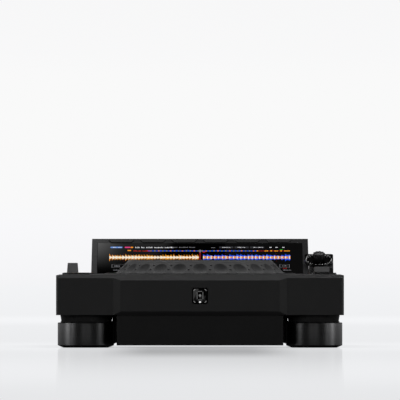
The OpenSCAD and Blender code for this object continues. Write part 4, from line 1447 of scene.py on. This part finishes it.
@dataclass
class JogWheel:
    """The large wheel: a dimpled rim, a flat spun plate, a round display."""

    dimples: int = 24
    dimple_r: float = 8.4
    dimple_deep: float = 3.3
    dimple_down: float = 11.0
    blend: float = 0.5
    wall: float = 7.0
    web: float = 3.0
    edge: float = 1.6
    rim_r: float = 84.5
    hub_r: float = 35.0
    hub_wall: float = 4.0
    plate_hole: float = 33.6
    plate_foot: float = 0.4
    painted_highlight_band: float = 0.04
    rows: int = 44
    sides: int = 1008
    grip_at: tuple[Flat, ...] = ((4.6, 0.8), (11.3, -0.4), (18.3, -2.2))
    grip_rings: tuple[Flat, ...] = ((1.6, -0.15), (1.45, 0.2), (1.05, 0.65), (0.5, 0.85), (0.0, 0.9))
    grip_sides: int = 12

    def build(self) -> None:
        """Builds the wheel and dresses what turns with it."""
        low, high, middle = spot("jog_wheel")
        at = moved(middle.x, middle.y)
        self.rim(at, (high.x - low.x) / 2, high.z, low.z)
        self.grips(at, high.z)
        self.plate()
        self.display()
        dress(CAN, 0.2, "jog_spindle")
        dress(ZINC, 0.2, "jog_bearing")
        dress(ZINC, 0.0, "encoder_disc")

    def sink(self, turn: float, run: float) -> float:
        """How deep the rim is below its cone at a point.

        Args:
            turn: Angle round the axis, in radians, from straight front.
            run: Way down the cone from the shoulder, below 0 off the cone.

        Returns:
            The depth square to the cone.
        """
        if run < 0:
            return 0.0
        shoulder = max(0.0, self.blend - run) * 0.35
        pitch = math.tau / self.dimples
        off = (turn + pitch / 2) % pitch - pitch / 2
        away = math.hypot(off * (self.rim_r + run / math.sqrt(2)), run - self.dimple_down)
        inner, outer = self.dimple_r - self.blend, self.dimple_r + self.blend
        if away >= outer:
            return shoulder
        ball = (self.dimple_r**2 + self.dimple_deep**2) / (2 * self.dimple_deep)
        if away > inner:
            return shoulder + inner / math.sqrt(ball**2 - inner**2) * (outer - away) ** 2 / 2
        return shoulder + math.sqrt(ball**2 - away**2) - (ball - self.dimple_deep)

    def rim(self, at: Matrix, r: float, top: float, foot: float) -> None:
        """The rim as one closed mesh, its cone cut by the dimples.

        Args:
            at: The frame on the axis.
            r: Outer radius.
            top: Height of its upper face.
            foot: Height of the hub's lower end.
        """
        skirt = top - (r - self.rim_r)
        hub = self.hub_r + self.hub_wall
        runs = [(r - self.rim_r) * math.sqrt(2) * i / self.rows for i in range(self.rows + 1)]
        profile = [(self.rim_r - 1.4, top, -1.0), (self.rim_r - 0.5, top - 0.02, -1.0)]
        profile += [(self.rim_r + run / math.sqrt(2), top - run / math.sqrt(2), run) for run in runs]
        profile += [(a, b, -1.0) for a, b in (
            (r, skirt - self.edge), (r - self.wall, skirt - self.edge), (r - self.wall, skirt),
            (self.rim_r + self.web - self.wall, top - self.web), (hub, top - self.web), (hub, foot),
            (self.hub_r, foot), (self.hub_r, top),
        )]
        rows = []
        for reach, z, run in profile:
            row = []
            for i in range(self.sides):
                turn = math.tau * i / self.sides
                cut = self.sink(turn, run) / math.sqrt(2)
                row.append(((reach - cut) * math.sin(turn), (cut - reach) * math.cos(turn), z - cut))
            rows.append(row)
        form = Form("jog_rim", at)
        form.grid(rows, closed=True)
        form.piece(WHEEL, "jog", ("jog_wheel",), sharp=50.0)

    def grips(self, at: Matrix, top: float) -> None:
        """Small raised bumps between the dimples.

        Args:
            at: The frame on the axis.
            top: Height of the rim's upper face.
        """
        form = Form("jog_grip_bumps", at)
        turns = [math.tau * k / self.grip_sides for k in range(self.grip_sides)]
        for i in range(self.dimples):
            for run, lean in self.grip_at:
                turn = math.radians((i + 0.5) * 360 / self.dimples + lean)
                out = Vector((math.sin(turn), -math.cos(turn), 0.0))
                side = Vector((math.cos(turn), math.sin(turn), 0.0))
                normal = (out + Vector((0, 0, 1))).normalized()
                up = normal.cross(side)
                drop = run / math.sqrt(2)
                centre = out * (self.rim_r + drop) + Vector((0, 0, top - drop))
                form.grid([[centre + (side * math.cos(a) + up * math.sin(a)) * ring + normal * lift for a in turns]
                           for ring, lift in self.grip_rings], caps=(0,))
        form.piece(WHEEL, "jog", slot="jog_grey", sharp=60.0)

    def plate(self) -> None:
        """The flat plate with an eased edge, a pale band painted on it as an edge highlight, and two rings."""
        low, high, middle = spot("jog_plate")
        at = moved(middle.x, middle.y)
        outer, inner = (high.x - low.x) / 2, self.plate_hole
        base, foot, top = low.z, low.z + self.plate_foot, high.z
        crown = outer - (top - foot)
        form = Form("jog_plate_spun", at)
        form.lathe(ease([(inner, base), (outer, base), (outer, foot), (crown, top), (inner + 0.3, top),
                         (inner, top - 0.3)], 0.2), 180)
        finish = Spun("plate_black", dark(0.016, 0.0005), 0.36, 0.4, middle=(middle.x, middle.y))
        form.piece(finish, "jog", ("jog_plate",))
        # A painted highlight: a thin lighter band over the plate's eased edge.
        painted_highlight_band = Form("jog_plate_painted_highlight", at)
        painted_highlight_band.lathe([(outer - 0.2, base + 0.1), (outer + self.painted_highlight_band, base + 0.1), (outer + self.painted_highlight_band, foot),
                    (crown + self.painted_highlight_band, top - 0.05), (crown - 0.2, top - 0.25)], 180)
        painted_highlight_band.piece(PAINTED_EDGE_HIGHLIGHT, "jog", slot="jog_grey")
        rings = Form("jog_plate_ring", at)
        rings.hoop(crown - 6.2, crown - 5.8, sides=180, z=top + LIFT)
        rings.hoop(inner + 2.4, inner + 2.9, sides=120, z=top + LIFT)
        rings.piece(PRINT_DIM, "jog")

    def display(self) -> None:
        """The round display: a lit ring of ticks, a pointer, small blocks."""
        dress(GLASS, 0.2, "jog_display")
        ticks, arc, pointer, blocks = (
            Form(f"round_picture_{name}", top_of("jog_display")) for name in ("ticks", "arc", "pointer", "blocks")
        )
        for i in range(60):
            ticks.hoop(27.0 if i % 5 else 25.0, 29.0, i * 6 - 0.7, i * 6 + 0.7, 1)
        arc.hoop(21.5, 24.0, -38, 90)
        pointer.bar(-0.8, 0.8, 17.0, 30.0, 0.01)
        pointer.sheet(circle(3.0, 24))
        for x in (-12, -4, 4, 12):
            blocks.sheet(round_rect(6, 4, 0.8), 0, x, -9)
        for form, tint in ((ticks, Tint.STONE), (arc, Tint.SKY), (pointer, Tint.WHITE), (blocks, Tint.ORANGE)):
            form.piece(tint.finish(), "root", slot="screen_glass")


class Symbol(Enum):
    """Plain symbols of the round keys, each stroke a method of Form with its sizes."""

    PLAY = (("sheet", ((-4.2, -2.2), (-0.4, 0.0), (-4.2, 2.2))), ("bar", 1.0, 1.9, -2.2, 2.2),
            ("bar", 3.0, 3.9, -2.2, 2.2))
    RING = (("hoop", 1.9, 2.4, 0, 360, 32), ("sheet", circle(0.7, 16)))
    BRACKET_IN = (("bar", -1.2, -0.7, -1.8, 1.8), ("bar", -0.7, 0.9, 1.3, 1.8), ("bar", -0.7, 0.9, -1.8, -1.3))
    BRACKET_OUT = (("bar", 0.7, 1.2, -1.8, 1.8), ("bar", -0.9, 0.7, 1.3, 1.8), ("bar", -0.9, 0.7, -1.8, -1.3))
    LOOP = (("hoop", 1.7, 2.2, 40, 330, 24), ("sheet", ((1.2, -0.2), (2.9, 0.1), (1.9, 1.4))))
    DOTS = (("sheet", circle(0.6, 14, -1.2)), ("sheet", circle(0.6, 14, 1.2)))

    def draw(self, form: Form) -> None:
        """Draws the strokes in the middle of a form."""
        for kind, *sizes in self.value:
            getattr(form, kind)(*sizes)


@dataclass
class DeckKeys:
    """Every key on the deck, with its light and its symbol."""

    round_keys: tuple[tuple[str, Colour, float, Symbol], ...] = (
        ("play_button", linear(40, 200, 70), 13.4, Symbol.PLAY),
        ("cue_button", linear(250, 150, 30), 13.4, Symbol.RING),
        ("loop_in_key", linear(250, 150, 30), 5.6, Symbol.BRACKET_IN),
        ("loop_out_key", linear(250, 150, 30), 5.6, Symbol.BRACKET_OUT),
        ("reloop_key", linear(250, 150, 30), 5.6, Symbol.LOOP),
        ("sync_key", linear(90, 150, 230), 5.6, Symbol.DOTS),
        ("master_key", linear(250, 150, 30), 5.6, Symbol.RING),
    )
    hot_cue_tints: tuple[Colour, ...] = (
        linear(40, 190, 60), linear(30, 150, 220), linear(210, 60, 140), linear(240, 150, 30),
        linear(200, 40, 30), linear(60, 80, 230), linear(220, 200, 60), linear(120, 60, 200),
    )
    glow: float = 0.8

    def lit(self, name: str, tint: Colour) -> Lit:
        """The finish of a key's light."""
        return Lit(name, tint, glow=self.glow)

    def ride(self, node: str, finish: Finish, form: Form) -> None:
        """Makes a light or a symbol a piece that moves with its key."""
        form.piece(finish, node + "_body", slot="key_black")

    def build(self) -> None:
        """Builds the round keys, the seek keys and the hot-cue keys."""
        for node, tint, ring, symbol in self.round_keys:
            dress(KEY, 0.0, node)
            light, mark = Form(f"{node}_ring", top_of(node)), Form(f"{node}_symbol", top_of(node))
            light.hoop(ring - 0.9, ring, sides=72)
            symbol.draw(mark)
            self.ride(node, self.lit(f"{node}_light", tint), light)
            self.ride(node, PRINT, mark)
        for kind in ("track", "search"):
            for end, way in (("back", -1), ("forward", 1)):
                node = f"{kind}_{end}_key"
                dress(KEY, 0.3, node)
                mark = Form(f"{node}_symbol", top_of(node))
                for shift in (-1.6, 1.0):
                    tip, back = way * (shift + 1.4), way * (shift - 1.0)
                    mark.sheet([(back, -1.4), (tip, 0), (back, 1.4)][::way])
                if kind == "track":
                    mark.line(way * 2.9, 0, 0.5, 2.8)
                self.ride(node, PRINT, mark)
        for i, tint in enumerate(self.hot_cue_tints, 1):
            node = f"hot_cue_{i}"
            dress(KEY, 0.4, node)
            light, mark = Form(f"{node}_light", top_of(node)), Form(f"{node}_symbol", top_of(node))
            light.sheet(round_rect(15, 1.4, 0.6), y=2.4)
            mark.sheet(circle(0.55, 12), y=-1.8)
            self.ride(node, self.lit(f"{node}_lamp", tint), light)
            self.ride(node, PRINT, mark)


@dataclass
class DirectionLever:
    """The paddle on the left with a light line on its top."""

    mark: Flat = (7.2, 0.7)

    def build(self) -> None:
        """Dresses the paddle and prints its line."""
        dress(LEVER, 0.5, "direction_lever")
        line = Form("lever_line", top_of("direction_lever"))
        line.line(0, 0, *self.mark)
        line.piece(PRINT, "lever_body", slot="jog_grey")


@dataclass
class TempoFader:
    """The slider, its plate and the body under the deck."""

    mark: Flat = (15.2, 0.8)
    mark_down: float = 0.97

    def build(self) -> None:
        """Dresses the fader and adds the slider's ribs and line."""
        dress(SATIN_GLOSS, 0.25, "fader_plate")
        dress(CAN, 0.2, "fader_body")
        dress(CAP, 0.3, "tempo_slider")
        low, high, middle = spot("tempo_slider")
        ribs = Form("slider_ribs", moved(middle.x, middle.y, high.z))
        outline = round_rect(high.x - low.x - 2.4, 0.9, 0.4)
        for y in (-3.2, -5.3, -7.4, 3.2, 5.3, 7.4):
            ribs.slab([(px, py + y) for px, py in outline], -0.1, 0.0, 0.05)
        ribs.piece(CAP, "tempo_body", slot="jog_grey")
        line = Form("slider_line", moved(middle.x, middle.y, high.z - self.mark_down))
        line.line(0, 0, *self.mark)
        line.piece(PRINT, "tempo_body", slot="jog_grey")


@dataclass
class TrimKnobs:
    """Two small ribbed knobs."""

    tall: float = 6.1
    shaft: float = 3.0
    sides: int = 144
    dents: tuple[float, ...] = (0.0, 0.25, 0.32, 0.25)

    def build(self) -> None:
        """Builds each knob with a rib every ten degrees."""
        for node in ("jog_adjust_knob", "vinyl_speed_knob"):
            low, high, middle = spot(node)
            r, top, foot = (high.x - low.x) / 2, high.z, high.z - self.tall
            rows = ((r - 0.25, foot, 0.0), (r - 0.02, foot + 0.5, 0.0), (r - 0.15, foot + 1.2, 1.0),
                    (r - 0.85, top - 0.9, 1.0), (r - 1.2, top - 0.25, 0.4), (r - 1.9, top, 0.0))
            form = Form(f"{node}_ribbed", moved(middle.x, middle.y))
            grid = []
            for radius, z, deep in rows:
                reaches = (radius - self.dents[i % len(self.dents)] * deep for i in range(self.sides))
                turned = zip(reaches, circle(1.0, self.sides))
                grid.append([(reach * x, reach * y, z) for reach, (x, y) in turned])
            form.grid(grid, caps=(0, -1))
            roof = foot + 0.2
            form.lathe([(0, low.z), (self.shaft, low.z), (self.shaft, roof), (0, roof)], 32, closed=False)
            form.piece(KNOB, node + "_body", (node,), sharp=30.0)
            line = Form(f"{node}_pointer", top_of(node))
            line.bar(-0.45, 0.45, 2.2, r - 2.2)
            line.piece(PRINT, node + "_body")


@dataclass
class RearSockets:
    """The rear panel, its sockets and the stick socket in the deck."""

    def build(self) -> None:
        """Dresses the panel and the sockets."""
        dress(PANEL, 0.0, "rear_panel")
        dress(KEY, 0.25, "power_inlet")
        dress(GOLD, 0.15, "phono_jacks")
        dress(NICKEL, 0.2, "network_jack")
        dress(KEY, 0.3, "power_button")
        dress(NICKEL, 0.1, "usb_socket")


@dataclass
class InnerParts:
    """What sits inside the case."""

    def build(self) -> None:
        """Dresses the boards and the power supply."""
        dress(BOARD, 0.1, "key_boards", "main_board")
        dress(CAN, 0.4, "power_supply")


def main() -> None:
    """Builds every sub-assembly in order and reports each."""
    logging.basicConfig(level=logging.INFO, format="%(name)s: %(message)s")
    for part in (
        Studio(), CaseShell(), LowerCase(), Feet(), TouchBadge(), DisplayPod(), BrowseKnob(), JogWheel(),
        DeckKeys(), DirectionLever(), TempoFader(), TrimKnobs(), RearSockets(), InnerParts(),
    ):
        part.build()
        LOG.info("built %s", type(part).__name__)


if __name__ == "__main__":
    main()
